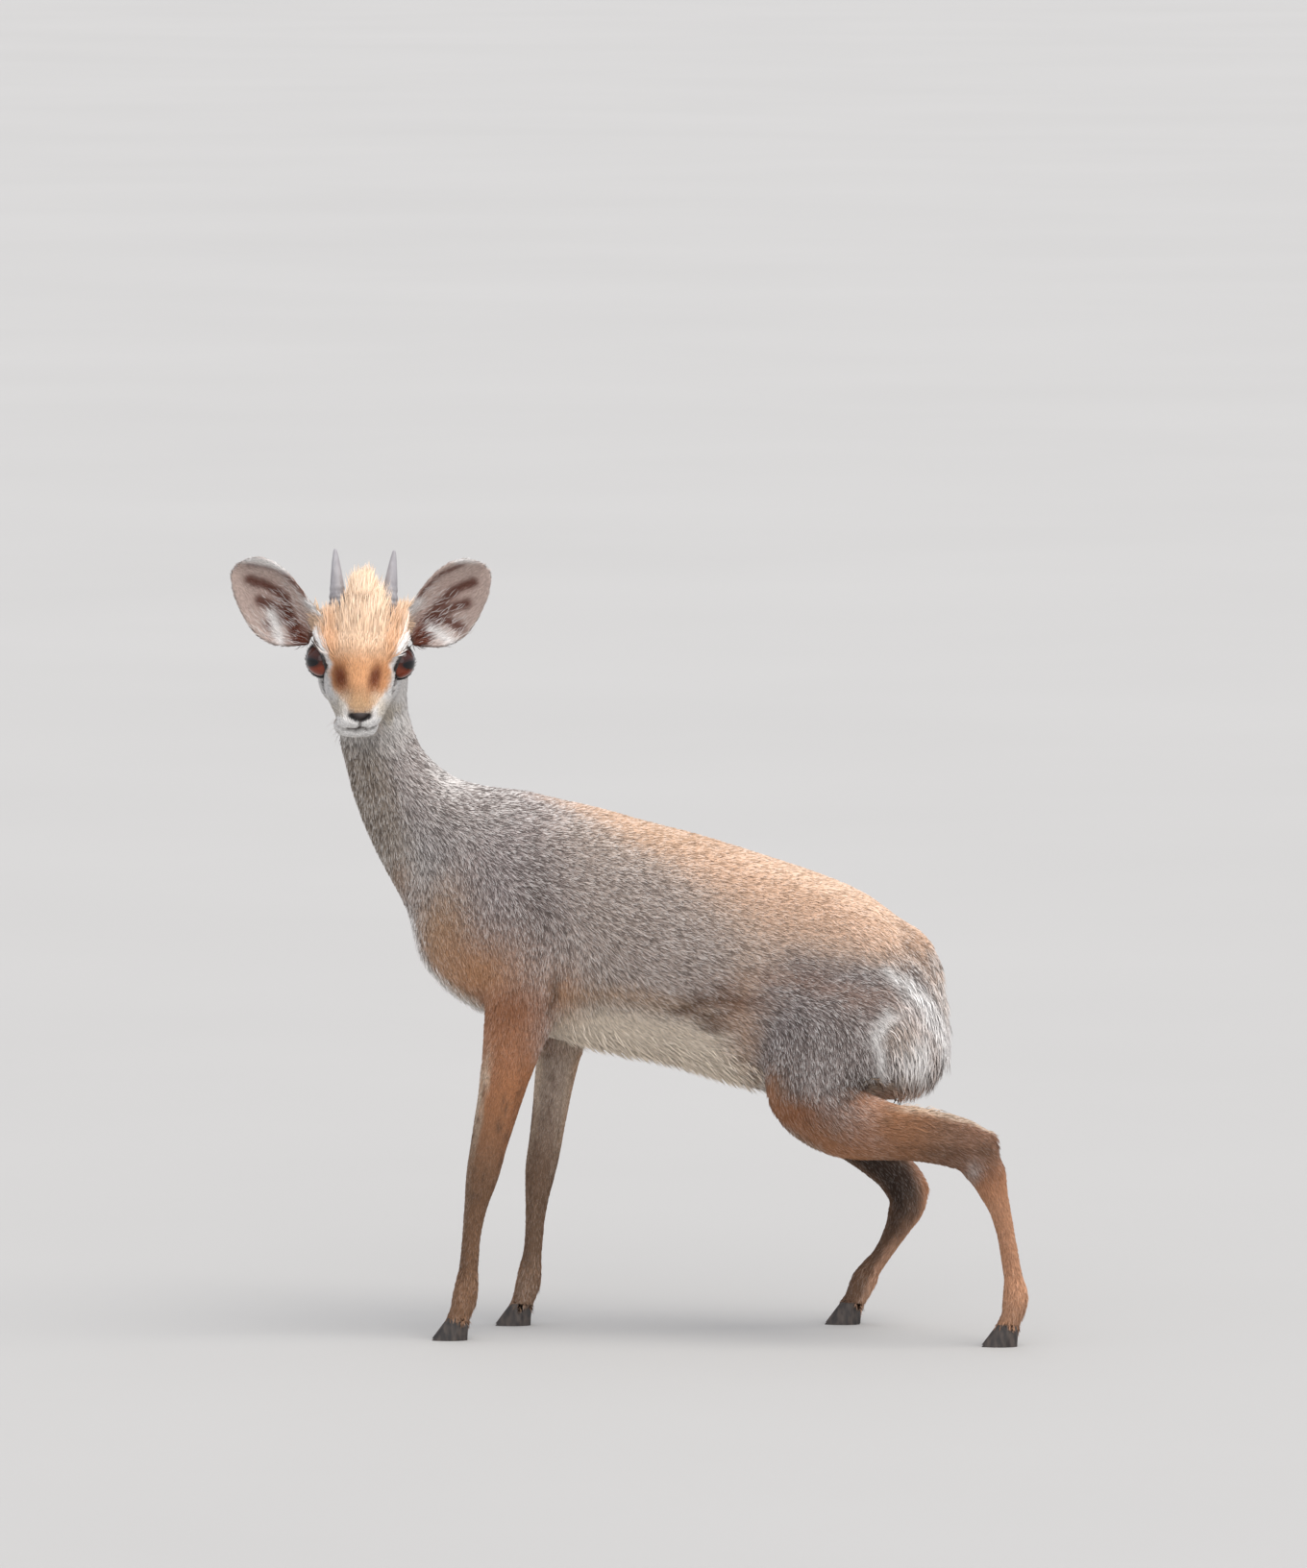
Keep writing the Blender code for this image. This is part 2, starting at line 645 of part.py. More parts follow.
def build():
    coat_grey = material("grey_coat", (0.42, 0.35, 0.30), 0.9)
    coat_rufous = material("rufous_coat", (0.62, 0.33, 0.16), 0.9)
    leg_rufous = material("leg_coat", (0.58, 0.36, 0.20), 0.9)
    horn_look = material("horn", (0.30, 0.28, 0.27), 0.5)
    hoof_look = material("hoof", (0.05, 0.04, 0.035), 0.45)
    eye_look = material("eye", (0.03, 0.012, 0.006), 0.06)

    body = whole_body()

    head_turn = HEAD.to_3x3().to_4x4()
    head_face = HEAD @ (Vector(HEAD_CUT_FACE) * MM) / MM
    head, rest = divide(body, "head", head_face, head_turn, HEAD_CUT_BOX)
    head = simplified(head, HEAD_TRIANGLES)
    rest = simplified(rest, REST_TRIANGLES)
    neck, rest = divide(rest, "neck", NECK_CUT_FACE, turn(0, NECK_CUT_TURN), NECK_CUT_BOX)

    pieces = {"neck": (neck, coat_grey)}
    down = Matrix.Rotation(math.pi, 4, "X")
    for name, x, y, reach in FORE_CUTS:
        leg, rest = divide(rest, name, (x, y, ELBOW_CUT_HEIGHT), down, (reach, *FORE_BOX_DEPTH))
        cannon, forearm = divide(leg, name + "_cannon", (x, y, CARPUS_CUT_HEIGHT), down, CARPUS_BOX)
        pieces[name + "_forearm"] = (forearm, leg_rufous)
        pieces[name + "_cannon"] = (cannon, leg_rufous)
    for name, hand, thigh_cut, shank_cut, hock_cut in HIND_CUTS:
        cannon, rest = divide(rest, name + "_cannon", hock_cut, down, HOCK_BOX)
        shank_face, shank_way, shank_sizes = shank_cut
        shank, rest = divide(rest, name + "_shank", shank_face, turn(0, shank_way), shank_sizes)
        ham_turn = Matrix.Rotation(-TRUNK_YAW, 4, "Z") @ turn(180.0 + hand * HAM_SLOPE)
        thigh, rest = divide(rest, name + "_thigh", thigh_cut, ham_turn, HAM_BOX)
        pieces[name + "_thigh"] = (thigh, coat_grey)
        pieces[name + "_shank"] = (shank, leg_rufous)
        pieces[name + "_cannon"] = (cannon, leg_rufous)
    pieces["trunk"] = (rest, coat_grey)

    for limb_name, heading in FOOT_HEADINGS.items():
        for name, (hoof, seat) in hooves(limb_name, math.radians(heading)).items():
            key = limb_name + "_cannon"
            cut, look = pieces[key]
            pieces[key] = (as_helper(with_boolean(cut, seat, "DIFFERENCE", key + "_seated", helpers)), look)
            pieces[name] = (hoof, hoof_look)

    for hand, word in ((1, "left"), (-1, "right")):
        place = (0, hand * EYE_SPREAD, 0)
        socket = sphere("socket_" + word, place, EYE_RADIUS, HEAD, FIT_GAP)
        head = as_helper(with_boolean(head, socket, "DIFFERENCE", "head_socketed", helpers))
        pieces["eye_" + word] = (sphere("eye_form_" + word, place, EYE_RADIUS, HEAD), eye_look)
    pieces["head"] = (head, coat_rufous)

    head_clear = grown(head, FIT_GAP)
    crest = as_helper(with_boolean(crest_form(), head_clear, "DIFFERENCE", "crest_cut", helpers))
    for hand, word in ((1, "left"), (-1, "right")):
        ear = with_boolean(ear_surface(hand), head_clear, "DIFFERENCE", "ear_cut", helpers)
        horn = horn_form(hand)
        crest = as_helper(with_boolean(crest, grown(horn, FIT_GAP), "DIFFERENCE", "crest_cut", helpers))
        horn = with_boolean(horn, head_clear, "DIFFERENCE", "horn_cut", helpers)
        pieces["ear_" + word] = (as_helper(ear), coat_grey)
        pieces["horn_" + word] = (as_helper(horn), horn_look)
    pieces["crest"] = (crest, coat_rufous)

    trunk_clear = grown(rest, FIT_GAP)
    tail = with_boolean(tail_form(), trunk_clear, "DIFFERENCE", "tail_cut", helpers)
    pieces["tail"] = (as_helper(tail), coat_rufous)

    for name, (form, look) in pieces.items():
        finish(form, name, look)
    stand_at_origin()


clear_scene()
helpers = in_collection("helpers")
animal = in_collection("dik_dik")
HEAD = head_frame()
build()
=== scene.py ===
import math
import bpy
import numpy as np
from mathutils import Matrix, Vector


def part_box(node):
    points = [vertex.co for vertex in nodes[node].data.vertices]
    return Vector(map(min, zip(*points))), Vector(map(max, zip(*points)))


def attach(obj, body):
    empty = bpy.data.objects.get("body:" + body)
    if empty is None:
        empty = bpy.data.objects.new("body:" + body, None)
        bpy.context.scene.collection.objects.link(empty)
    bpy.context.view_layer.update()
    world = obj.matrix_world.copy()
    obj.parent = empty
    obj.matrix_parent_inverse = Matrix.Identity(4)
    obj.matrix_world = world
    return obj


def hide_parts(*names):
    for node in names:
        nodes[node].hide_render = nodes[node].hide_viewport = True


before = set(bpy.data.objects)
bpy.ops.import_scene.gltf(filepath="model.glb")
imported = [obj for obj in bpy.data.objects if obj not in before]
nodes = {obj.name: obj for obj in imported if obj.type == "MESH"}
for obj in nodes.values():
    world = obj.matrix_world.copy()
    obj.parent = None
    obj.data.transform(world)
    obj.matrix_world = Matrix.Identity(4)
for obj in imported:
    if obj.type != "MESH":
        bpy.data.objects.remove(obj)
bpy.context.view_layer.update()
mm = 0.001  # every length below is in millimetres, and meshes are made in metres
rng = np.random.default_rng(7)


# The skull's own axes: forward along the nose, left and up, with zero midway between the eyes.
headPose = {"pitch": 32.0, "yaw": -1.0, "roll": 2.0}
modelZero = np.array([-184.6, -18.0, 459.6])  # where the skull's zero was drawn, before the part was centred


def middleOf(node):
    low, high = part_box(node)
    return np.array((low + high) / 2) / mm


def headAxes(pitch, yaw, roll):
    # Forward is level, pitched down; left and up follow from it and are rolled about it.
    p, y, r = np.radians([pitch, yaw, roll])
    forward = np.array([-np.sin(y) * np.cos(p), -np.cos(y) * np.cos(p), -np.sin(p)])
    left = np.array([np.cos(y), -np.sin(y), 0.0])
    up = np.cross(forward, left)
    return np.array([forward, left * np.cos(r) - up * np.sin(r), up * np.cos(r) + left * np.sin(r)])


skullAxes = headAxes(**headPose)
skullZero = (middleOf("eye_left") + middleOf("eye_right")) / 2
moved = skullZero - modelZero  # from the drawing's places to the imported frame


def toHead(points):
    return (points - skullZero) @ skullAxes.T


def fromHead(points):
    return np.asarray(points, float) @ skullAxes + skullZero


# Small tools for arrays of points


def smoothStep(value, low, high):
    t = np.clip((value - low) / (high - low), 0.0, 1.0)
    return t * t * (3 - 2 * t)


def unit(vectors):
    return vectors / np.maximum(np.linalg.norm(vectors, axis=-1, keepdims=True), 1e-9)


def wobble(points, size, seed=0):
    # Smooth noise from -1 to 1: a sum of three crossed sine waves whose lengths are about size.
    waves = np.random.default_rng(seed).normal(size=(3, 3, 3))
    total = np.zeros(len(points))
    for k, wave in enumerate(waves):
        turned = points @ unit(wave).T * (2 * np.pi / size) * (1 + 0.37 * k)
        total += np.sin(turned[:, 0] + k) * np.sin(turned[:, 1] + 2 * k) + 0.5 * np.sin(turned[:, 2])
    return total / 3.2


def nearestOnPath(points, path):
    # Distance to a line through the path's points, how far along it from 0 to 1 the nearest place is, and
    # the step from there to the point.
    path = np.asarray(path, float)
    starts, runs = path[:-1], np.diff(path, axis=0)
    lengths = np.linalg.norm(runs, axis=1)
    before = np.concatenate([[0], np.cumsum(lengths)[:-1]])
    best = np.full(len(points), 1e9)
    along = np.zeros(len(points))
    offset = np.zeros_like(points, dtype=float)
    for start, run, length, far in zip(starts, runs, lengths, before):
        t = np.clip((points - start) @ run / max(length * length, 1e-9), 0, 1)
        away = points - start - t[:, None] * run
        distance = np.linalg.norm(away, axis=1)
        nearer = distance < best
        offset = np.where(nearer[:, None], away, offset)
        best = np.where(nearer, distance, best)
        along = np.where(nearer, (far + t * length) / lengths.sum(), along)
    return best, along, offset


def gridFaces(rows, columns, closed=True):
    # Quads between neighbouring points of a grid, whose columns close into a ring if asked.
    i, j = np.meshgrid(np.arange(rows - 1), np.arange(columns if closed else columns - 1), indexing="ij")
    after = (j + 1) % columns
    corners = [i * columns + j, i * columns + after, (i + 1) * columns + after, (i + 1) * columns + j]
    return np.stack(corners, axis=-1).reshape(-1, 4)


def makeMesh(name, points, faceSets):
    # A mesh from an array of points in millimetres and arrays of faces, each array with one face size.
    mesh = bpy.data.meshes.new(name)
    sizes = np.concatenate([np.full(len(f), f.shape[1]) for f in faceSets])
    corners = np.concatenate([f.ravel() for f in faceSets]).astype(np.int32)
    mesh.vertices.add(len(points))
    mesh.vertices.foreach_set("co", (points * mm).astype(np.float32).ravel())
    mesh.loops.add(len(corners))
    mesh.loops.foreach_set("vertex_index", corners)
    mesh.polygons.add(len(sizes))
    mesh.polygons.foreach_set("loop_start", (np.cumsum(sizes) - sizes).astype(np.int32))
    mesh.update(calc_edges=True)
    mesh.shade_smooth()
    return mesh


def makePiece(name, points, faceSets, finish=None, slot=None):
    piece = bpy.data.objects.new(name, makeMesh(name, points, faceSets))
    bpy.context.scene.collection.objects.link(piece)
    if finish:
        piece.data.materials.append(finish)
    if slot:
        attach(piece, "root")
    return piece


def setAttribute(piece, name, kind, values, domain="POINT"):
    field = {"FLOAT": "value", "FLOAT_COLOR": "color", "FLOAT_VECTOR": "vector"}[kind]
    made = piece.data.attributes.new(name, kind, domain)
    made.data.foreach_set(field, np.ascontiguousarray(values, np.float32).ravel())


def meshArrays(obj):
    # Points in millimetres and triangles of what an object's modifiers make.
    graph = bpy.context.evaluated_depsgraph_get()
    mesh = bpy.data.meshes.new_from_object(obj.evaluated_get(graph))
    mesh.calc_loop_triangles()
    points = np.empty(len(mesh.vertices) * 3, np.float32)
    mesh.vertices.foreach_get("co", points)
    triangles = np.empty(len(mesh.loop_triangles) * 3, np.int32)
    mesh.loop_triangles.foreach_get("vertices", triangles)
    bpy.data.meshes.remove(mesh)
    return points.reshape(-1, 3).astype(float) / mm, triangles.reshape(-1, 3)


def throughModifiers(points, triangles, *steps):
    # Runs a list of (type, settings) modifiers over a mesh. A vertexGroup setting gives each point's weight.
    helper = makePiece("helper", points, [triangles])
    for kind, settings in steps:
        modifier = helper.modifiers.new(kind, kind)
        for key, value in settings.items():
            if key == "weighted":
                group = helper.vertex_groups.new(name="weighted")
                group.add(np.nonzero(value)[0].tolist(), 1.0, "REPLACE")
                modifier.vertex_group = "weighted"
            else:
                setattr(modifier, key, value)
    bpy.context.view_layer.update()
    found = meshArrays(helper)
    bpy.data.objects.remove(helper)
    return found


def pointNormals(points, triangles):
    a, b, c = (points[triangles[:, k]] for k in range(3))
    face = np.cross(b - a, c - a)
    total = np.zeros_like(points)
    for k in range(3):
        for axis in range(3):
            total[:, axis] += np.bincount(triangles[:, k], face[:, axis], len(points))
    return unit(total)


def meshEdges(triangles):
    pairs = np.concatenate([triangles[:, [0, 1]], triangles[:, [1, 2]], triangles[:, [2, 0]]])
    return np.unique(np.sort(pairs, axis=1), axis=0)


def neighbourMean(values, edges):
    # Each point's mean over its neighbours, for values in columns.
    count = np.bincount(edges.ravel(), minlength=len(values))
    mean = np.empty_like(values)
    for k in range(values.shape[1]):
        one, two = values[edges[:, 0], k], values[edges[:, 1], k]
        mean[:, k] = np.bincount(edges[:, 0], two, len(values)) + np.bincount(edges[:, 1], one, len(values))
    return mean / np.maximum(count, 1)[:, None]


def spread(values, edges, rounds):
    # Softens a field over the surface.
    column = values.reshape(len(values), -1).astype(float)
    for _ in range(rounds):
        column = 0.5 * column + 0.5 * neighbourMean(column, edges)
    return column.reshape(values.shape)


def relaxed(points, edges, rounds, amount):
    # Smooths without shrinking: each round moves points towards their neighbours' mean and then back out.
    for _ in range(rounds):
        for step in (0.55, -0.57):
            points = points + (amount * step)[:, None] * (neighbourMean(points, edges) - points)
    return points


# Skin: one closed surface through every node of flesh, made finer on the head

skinShape = {
    "grow": 0.4,  # closes the thin cuts between nodes
    "voxel": 1.1,
    "keep": 0.21,  # share of triangles kept, most of them on the head
    "headFloor": 418.0,  # above this height the skin stays fine
    "lidRadius": 12.6,
    "crestCore": ((-18, 0, 32), (6.5, 8.5, 17)),
}
fleshNodes = [n for n in nodes if not n.startswith(("eye", "horn", "forehoof", "hindhoof"))]


def ball(centre, radii, axes, rings=24, points=32):
    # A closed ellipsoid: polar angle down the rows, azimuth round the columns.
    polar, azimuth = np.meshgrid(
        np.linspace(0.02, np.pi - 0.02, rings), np.arange(points) * 2 * np.pi / points, indexing="ij"
    )
    local = np.stack([np.sin(polar) * np.cos(azimuth), np.sin(polar) * np.sin(azimuth), np.cos(polar)], -1)
    place = (local.reshape(-1, 3) * radii) @ axes + centre
    caps = [np.arange(points)[::-1][None, :], (rings - 1) * points + np.arange(points)[None, :]]
    return place, [gridFaces(rings, points)[:, ::-1], *caps]


def triangulated(faceSets):
    fans = [f[:, [0, k, k + 1]] for f in faceSets for k in range(1, f.shape[1] - 1)]
    return np.concatenate(fans)


def grownNode(name):
    copy = nodes[name].copy()
    copy.data = nodes[name].data.copy()
    bpy.context.scene.collection.objects.link(copy)
    weld = copy.modifiers.new("weld", "WELD")
    weld.merge_threshold = 1e-5
    grow = copy.modifiers.new("grow", "DISPLACE")
    grow.strength = skinShape["grow"] * mm
    grow.mid_level = 0.0
    bpy.context.view_layer.update()
    found = meshArrays(copy)
    bpy.data.objects.remove(copy)
    return found


def joinedFlesh():
    forms = [grownNode(n) for n in fleshNodes if n != "crest"]
    for word in ("left", "right"):
        points, faceSets = ball(middleOf("eye_" + word), [skinShape["lidRadius"]] * 3, np.eye(3))
        forms.append((points, triangulated(faceSets)))
    centre, radii = skinShape["crestCore"]
    points, faceSets = ball(fromHead(np.array(centre, float)), radii, skullAxes)
    forms.append((points, triangulated(faceSets)))
    starts = np.cumsum([0] + [len(p) for p, _ in forms])
    points = np.concatenate([p for p, _ in forms])
    return points, np.concatenate([t + s for (_, t), s in zip(forms, starts)])


def nearestNode(points, names):
    # The CAD node whose nearest triangle middle is closest to each point.
    middles, owner = [], []
    for k, name in enumerate(names):
        found, triangles = meshArrays(nodes[name])
        middles.append(found[triangles].mean(axis=1))
        owner.append(np.full(len(triangles), k))
    middles, owner = np.concatenate(middles).astype(np.float32), np.concatenate(owner)
    square = (middles**2).sum(axis=1)
    nearest = []
    for block in np.array_split(points.astype(np.float32), 24):
        nearest.append(owner[np.argmin(square - 2 * block @ middles.T, axis=1)])
    return np.concatenate(nearest)


points, triangles = joinedFlesh()
points, triangles = throughModifiers(
    points,
    triangles,
    ("REMESH", {"mode": "VOXEL", "voxel_size": skinShape["voxel"] * mm}),
    ("SMOOTH", {"factor": 0.5, "iterations": 5}),
)
points, triangles = throughModifiers(
    points,
    triangles,
    (
        "DECIMATE",
        {"ratio": skinShape["keep"], "vertex_group_factor": 5.0, "weighted": points[:, 2] < skinShape["headFloor"]},
    ),
)
edges = meshEdges(triangles)
print("skin:", len(points), "points,", len(triangles), "triangles")

partNames = [n for n in fleshNodes if n != "crest"]
part = nearestNode(points, partNames)
nearMiddle = (np.abs(toHead(points)[:, 1]) < 14) & (toHead(points)[:, 2] > 18)
part = np.where(nearMiddle, partNames.index("head"), part)  # the crest's core belongs to the head


def onParts(*starts):
    # True where a point belongs to a node whose name starts with one of these words.
    wanted = [k for k, name in enumerate(partNames) if name.startswith(starts)]
    return np.isin(part, wanted)


isEar = onParts("ear")
isHead = onParts("head")
isLeg = onParts("foreleg", "hindleg") & ~onParts("hindleg_left_thigh", "hindleg_right_thigh")
smoothing = np.where(isEar, 0.25, np.where(isHead, 0.7, 1.0))
points = relaxed(points, edges, 22, spread(smoothing, edges, 6))
normals = pointNormals(points, triangles)

# Where the parts of the animal run, in the drawing's millimetres: used to comb the coat and to unwrap it

limbPaths = {
    "foreleg_left": [(-58, -14, 300), (-66, -20, 262), (-77, -26, 222), (-90, -31, 167), (-102, -32, 112),
                     (-109, -32, 74), (-112, -32, 48), (-117, -32, 20), (-121, -32, 4)],
    "foreleg_right": [(-42, 32, 292), (-46, 38, 252), (-49, 42, 212), (-56, 46, 158), (-64, 47, 106),
                      (-68, 47, 68), (-70, 47, 46), (-75, 47, 20), (-79, 47, 4)],
    "hindleg_left": [(158, -38, 250), (140, -46, 212), (128, -54, 177), (137, -60, 156), (160, -63, 147),
                     (206, -66, 138), (232, -66, 126), (242, -66, 104), (251, -66, 72), (256, -66, 40), (250, -66, 4)],
    "hindleg_right": [(156, 0, 246), (134, 12, 208), (114, 22, 176), (121, 30, 156), (142, 36, 137),
                      (177, 42, 106), (185, 44, 82), (179, 46, 66), (164, 50, 42), (152, 53, 20), (146, 53, 4)],
}
neckPath = [(-176, 0, 470), (-160, 10, 420), (-142, 14, 360), (-118, 14, 300)]
trunkPath = [(-150, 18, 300), (-70, 9, 285), (40, -5, 275), (120, -15, 255), (206, -26, 235)]
tailPath = [(178, -24, 282), (196, -26, 268), (203, -28, 243), (205, -28, 232)]
headPath = [(66, 0, -12), (20, 0, -8), (-20, 0, -4), (-54, 0, -6)]  # in the skull's frame
earFrames = {}
earShape = {
    "root": {"left": (-30, 29, 5.5), "right": (-30, -29, 4)},
    "tip": {"left": (-44, 84, 46.5), "right": (-44, -84, 40)},
    "facing": (0.85, 0.15, 0.50),
}
for word, hand in (("left", 1), ("right", -1)):
    root, tip = np.array(earShape["root"][word], float), np.array(earShape["tip"][word], float)
    along = unit(tip - root)
    facing = np.array(earShape["facing"]) * (1, hand, 1)
    facing = unit(facing - along * (facing @ along))
    earFrames[word] = {"root": root, "along": along, "facing": facing, "crown": np.cross(facing, along) * hand}


def toDrawing(points):
    return points - moved


def fromDrawing(path):
    return np.asarray(path, float) + moved


def inEar(points, word):
    # Millimetres out along the ear, towards its crown edge and out of its open side.
    ear = earFrames[word]
    local = toHead(points) - ear["root"]
    return local @ ear["along"], local @ ear["crown"], local @ ear["facing"]


combLines = [  # start and end of strokes that the hair follows, in the drawing's frame
    ((-172, 8, 478), (-150, 14, 400)), ((-150, 14, 400), (-112, 13, 355)),
    ((-192, -2, 430), (-160, 14, 330)), ((-160, 14, 330), (-128, 14, 240)), ((-128, 14, 240), (-70, 9, 205)),
    ((-112, 13, 355), (40, -5, 335)), ((40, -5, 335), (160, -20, 300)), ((160, -20, 300), (203, -27, 250)),
    ((203, -27, 250), (196, -26, 186)), ((-70, 9, 215), (110, -13, 205)), ((-90, -30, 335), (60, -52, 268)),
    ((-90, 52, 335), (60, 34, 268)), ((60, -52, 268), (150, -55, 235)), ((60, 34, 268), (150, 18, 235)),
    ((-112, -26, 320), (-76, -30, 232)), ((-112, 54, 320), (-76, 50, 232)),
]
headCombLines = [  # the same on the head, in the skull's frame
    ((66, 0, -6), (20, 0, 16)), ((20, 0, 16), (-14, 0, 34)), ((62, 13, -12), (-44, 29, -6)),
    ((62, -13, -12), (-44, -29, -6)), ((60, 0, -26), (-34, 0, -40)), ((-24, 0, 32), (-52, 0, 4)),
]


def combedFlow(points, normals):
    # The lie of the coat: directions of the nearby strokes, weighted by distance to the power -4, laid flat.
    strokes = [(fromDrawing(a), fromDrawing(b)) for a, b in combLines]
    strokes += [(fromHead(a), fromHead(b)) for a, b in headCombLines]
    strokes += [(fromDrawing(a), fromDrawing(b)) for p in limbPaths.values() for a, b in zip(p[1:], p[2:])]
    total = np.zeros_like(points)
    for start, end in strokes:
        distance = nearestOnPath(points, [start, end])[0]
        total += unit(end - start) / (distance[:, None] ** 2 + 16) ** 2
    for word, ear in earFrames.items():
        on = onParts("ear_" + word)
        total[on] = (ear["along"] @ skullAxes)[None, :]
    total = unit(total)
    flat = unit(total - normals * (total * normals).sum(axis=1, keepdims=True))
    flat = spread(flat, edges, 6)
    return unit(flat - normals * (flat * normals).sum(axis=1, keepdims=True))


# How deep the coat is over each part, and how its tufts are cut: length, width, lift at the tip, number a square mm

coatCut = {
    "trunk": {"depth": 2.5, "length": 5.8, "width": 0.86, "lift": 2.1, "number": 1.08},
    "neck": {"depth": 2.6, "length": 6.2, "width": 0.86, "lift": 2.3, "number": 1.12},
    "thigh": {"depth": 2.4, "length": 6.4, "width": 0.9, "lift": 2.1, "number": 1.08},
    "forearm": {"depth": 1.5, "length": 4.8, "width": 0.75, "lift": 1.2, "number": 1.02},
    "shank": {"depth": 1.7, "length": 5.0, "width": 0.75, "lift": 1.3, "number": 1.05},
    "cannon": {"depth": 1.1, "length": 3.8, "width": 0.66, "lift": 0.8, "number": 1.2},
    "tail": {"depth": 3.0, "length": 8.0, "width": 0.9, "lift": 2.8, "number": 1.4},
    "head": {"depth": 1.5, "length": 3.4, "width": 0.64, "lift": 1.1, "number": 1.85},
    "ear": {"depth": 0.2, "length": 3.0, "width": 0.56, "lift": 0.4, "number": 1.5},
}


def coatField(key):
    # One of coatCut's measures at every point of the skin, softened across the joins between parts.
    values = np.zeros(len(points))
    for word, cut in coatCut.items():
        values[np.isin(part, [k for k, n in enumerate(partNames) if word in n])] = cut[key]
    return spread(values, edges, 10)


local = toHead(points)
noseward = smoothStep(local[:, 0], 15, 55) * isHead
depth = coatField("depth")
depth = depth * (1 - 0.45 * noseward)
points = points - normals * (depth + skinShape["grow"])[:, None]
points = relaxed(points, edges, 2, np.where(isEar, 0.2, 0.8))

tailRoot = np.linalg.norm(toDrawing(points) - (182, -25, 284), axis=1)
for _ in range(90):
    points = points + (0.6 * np.exp(-((tailRoot / 19) ** 2)))[:, None] * (neighbourMean(points, edges) - points)
local = toHead(points)
behind = smoothStep(-local[:, 0], 22, 42) * (isHead | (onParts("neck") & (local[:, 2] > -42)))
dome = 5.0 * smoothStep(-local[:, 0], 20, 40) * smoothStep(local[:, 2], 6, 24) * isHead
corner = 6.5 * np.exp(-(((local[:, 0] + 66) / 19) ** 2) - ((local[:, 2] - 17) / 19) ** 2) * isHead
points = points - spread(dome + corner, edges, 6)[:, None] * skullAxes[2] + spread(corner, edges, 6)[:, None] * skullAxes[0]
throatBend = 0.8 * np.exp(-(((local[:, 0] - 8) / 14) ** 2) - ((local[:, 2] + 41) / 13) ** 2)
behind = np.maximum(behind, throatBend)
for _ in range(150):
    points = points + (0.6 * behind)[:, None] * (neighbourMean(points, edges) - points)
farThigh = onParts("hindleg_right_thigh") & (toDrawing(points)[:, 2] < 214)
tuck = farThigh * np.clip(104 - toDrawing(points)[:, 0], 0, 30) * smoothStep(-toDrawing(points)[:, 2], -214, -196)
points[:, 0] += 0.75 * spread(tuck, edges, 5)
hockX, hockY, hockZ = toDrawing(points).T
nearHock = onParts("hindleg_left_shank", "hindleg_left_cannon") & (hockZ > 118)
rise = 4.6 * nearHock * smoothStep(hockX, 168, 194) * (1 - smoothStep(hockX, 231, 243))
points[:, 2] += spread(rise * smoothStep(normals[:, 2], 0.1, 0.7), edges, 5)
knob = np.exp(-((np.linalg.norm(toDrawing(points) - (241, -66, 141), axis=1) / 9) ** 2))
for _ in range(24):
    points = points + (0.6 * knob)[:, None] * (neighbourMean(points, edges) - points)
normals = pointNormals(points, triangles)

# Sculpting of the face

eyeShape = {
    "radius": 11.5,
    "gaze": (0.60, 0.78, 0.16),  # where each eye looks, in the skull's frame
    "slant": -35.0,  # the opening's long axis, in degrees above forward
    "long": 70.0,  # half the opening's length and height, in degrees from the gaze
    "short": 54.0,
    "lid": 12.35,
    "recess": 9.6,
}


def eyeFrame(word):
    # Centre of the eye, its gaze, and the long and short axes of its opening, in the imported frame.
    hand = 1 if word == "left" else -1
    gaze = unit(np.array(eyeShape["gaze"]) * (1, hand, 1))
    ahead = unit(np.array([1.0, 0, 0]) - gaze * gaze[0])
    above = np.cross(ahead, gaze) * hand * -1
    above = above if above[2] > 0 else -above
    s = math.radians(eyeShape["slant"])
    long, short = ahead * math.cos(s) + above * math.sin(s), above * math.cos(s) - ahead * math.sin(s)
    return middleOf("eye_" + word), gaze @ skullAxes, long @ skullAxes, short @ skullAxes


def openingAngle(azimuth):
    # Half angle of the lids' opening: an ellipse in polar form, drawn out a little at both corners.
    ellipse = 1 / np.sqrt((np.cos(azimuth) / eyeShape["long"]) ** 2 + (np.sin(azimuth) / eyeShape["short"]) ** 2)
    return np.radians(ellipse * (1 + 0.07 * np.cos(azimuth) ** 6))


def aroundEye(points, word):
    # Distance from the eye's centre, direction, and polar angle as a share of the opening's.
    centre, gaze, long, short = eyeFrame(word)
    offset = points - centre
    distance = np.linalg.norm(offset, axis=1)
    way = offset / distance[:, None]
    polar = np.arccos(np.clip(way @ gaze, -1, 1))
    azimuth = np.arctan2(way @ short, way @ long)
    return centre, distance, way, polar / openingAngle(azimuth), azimuth


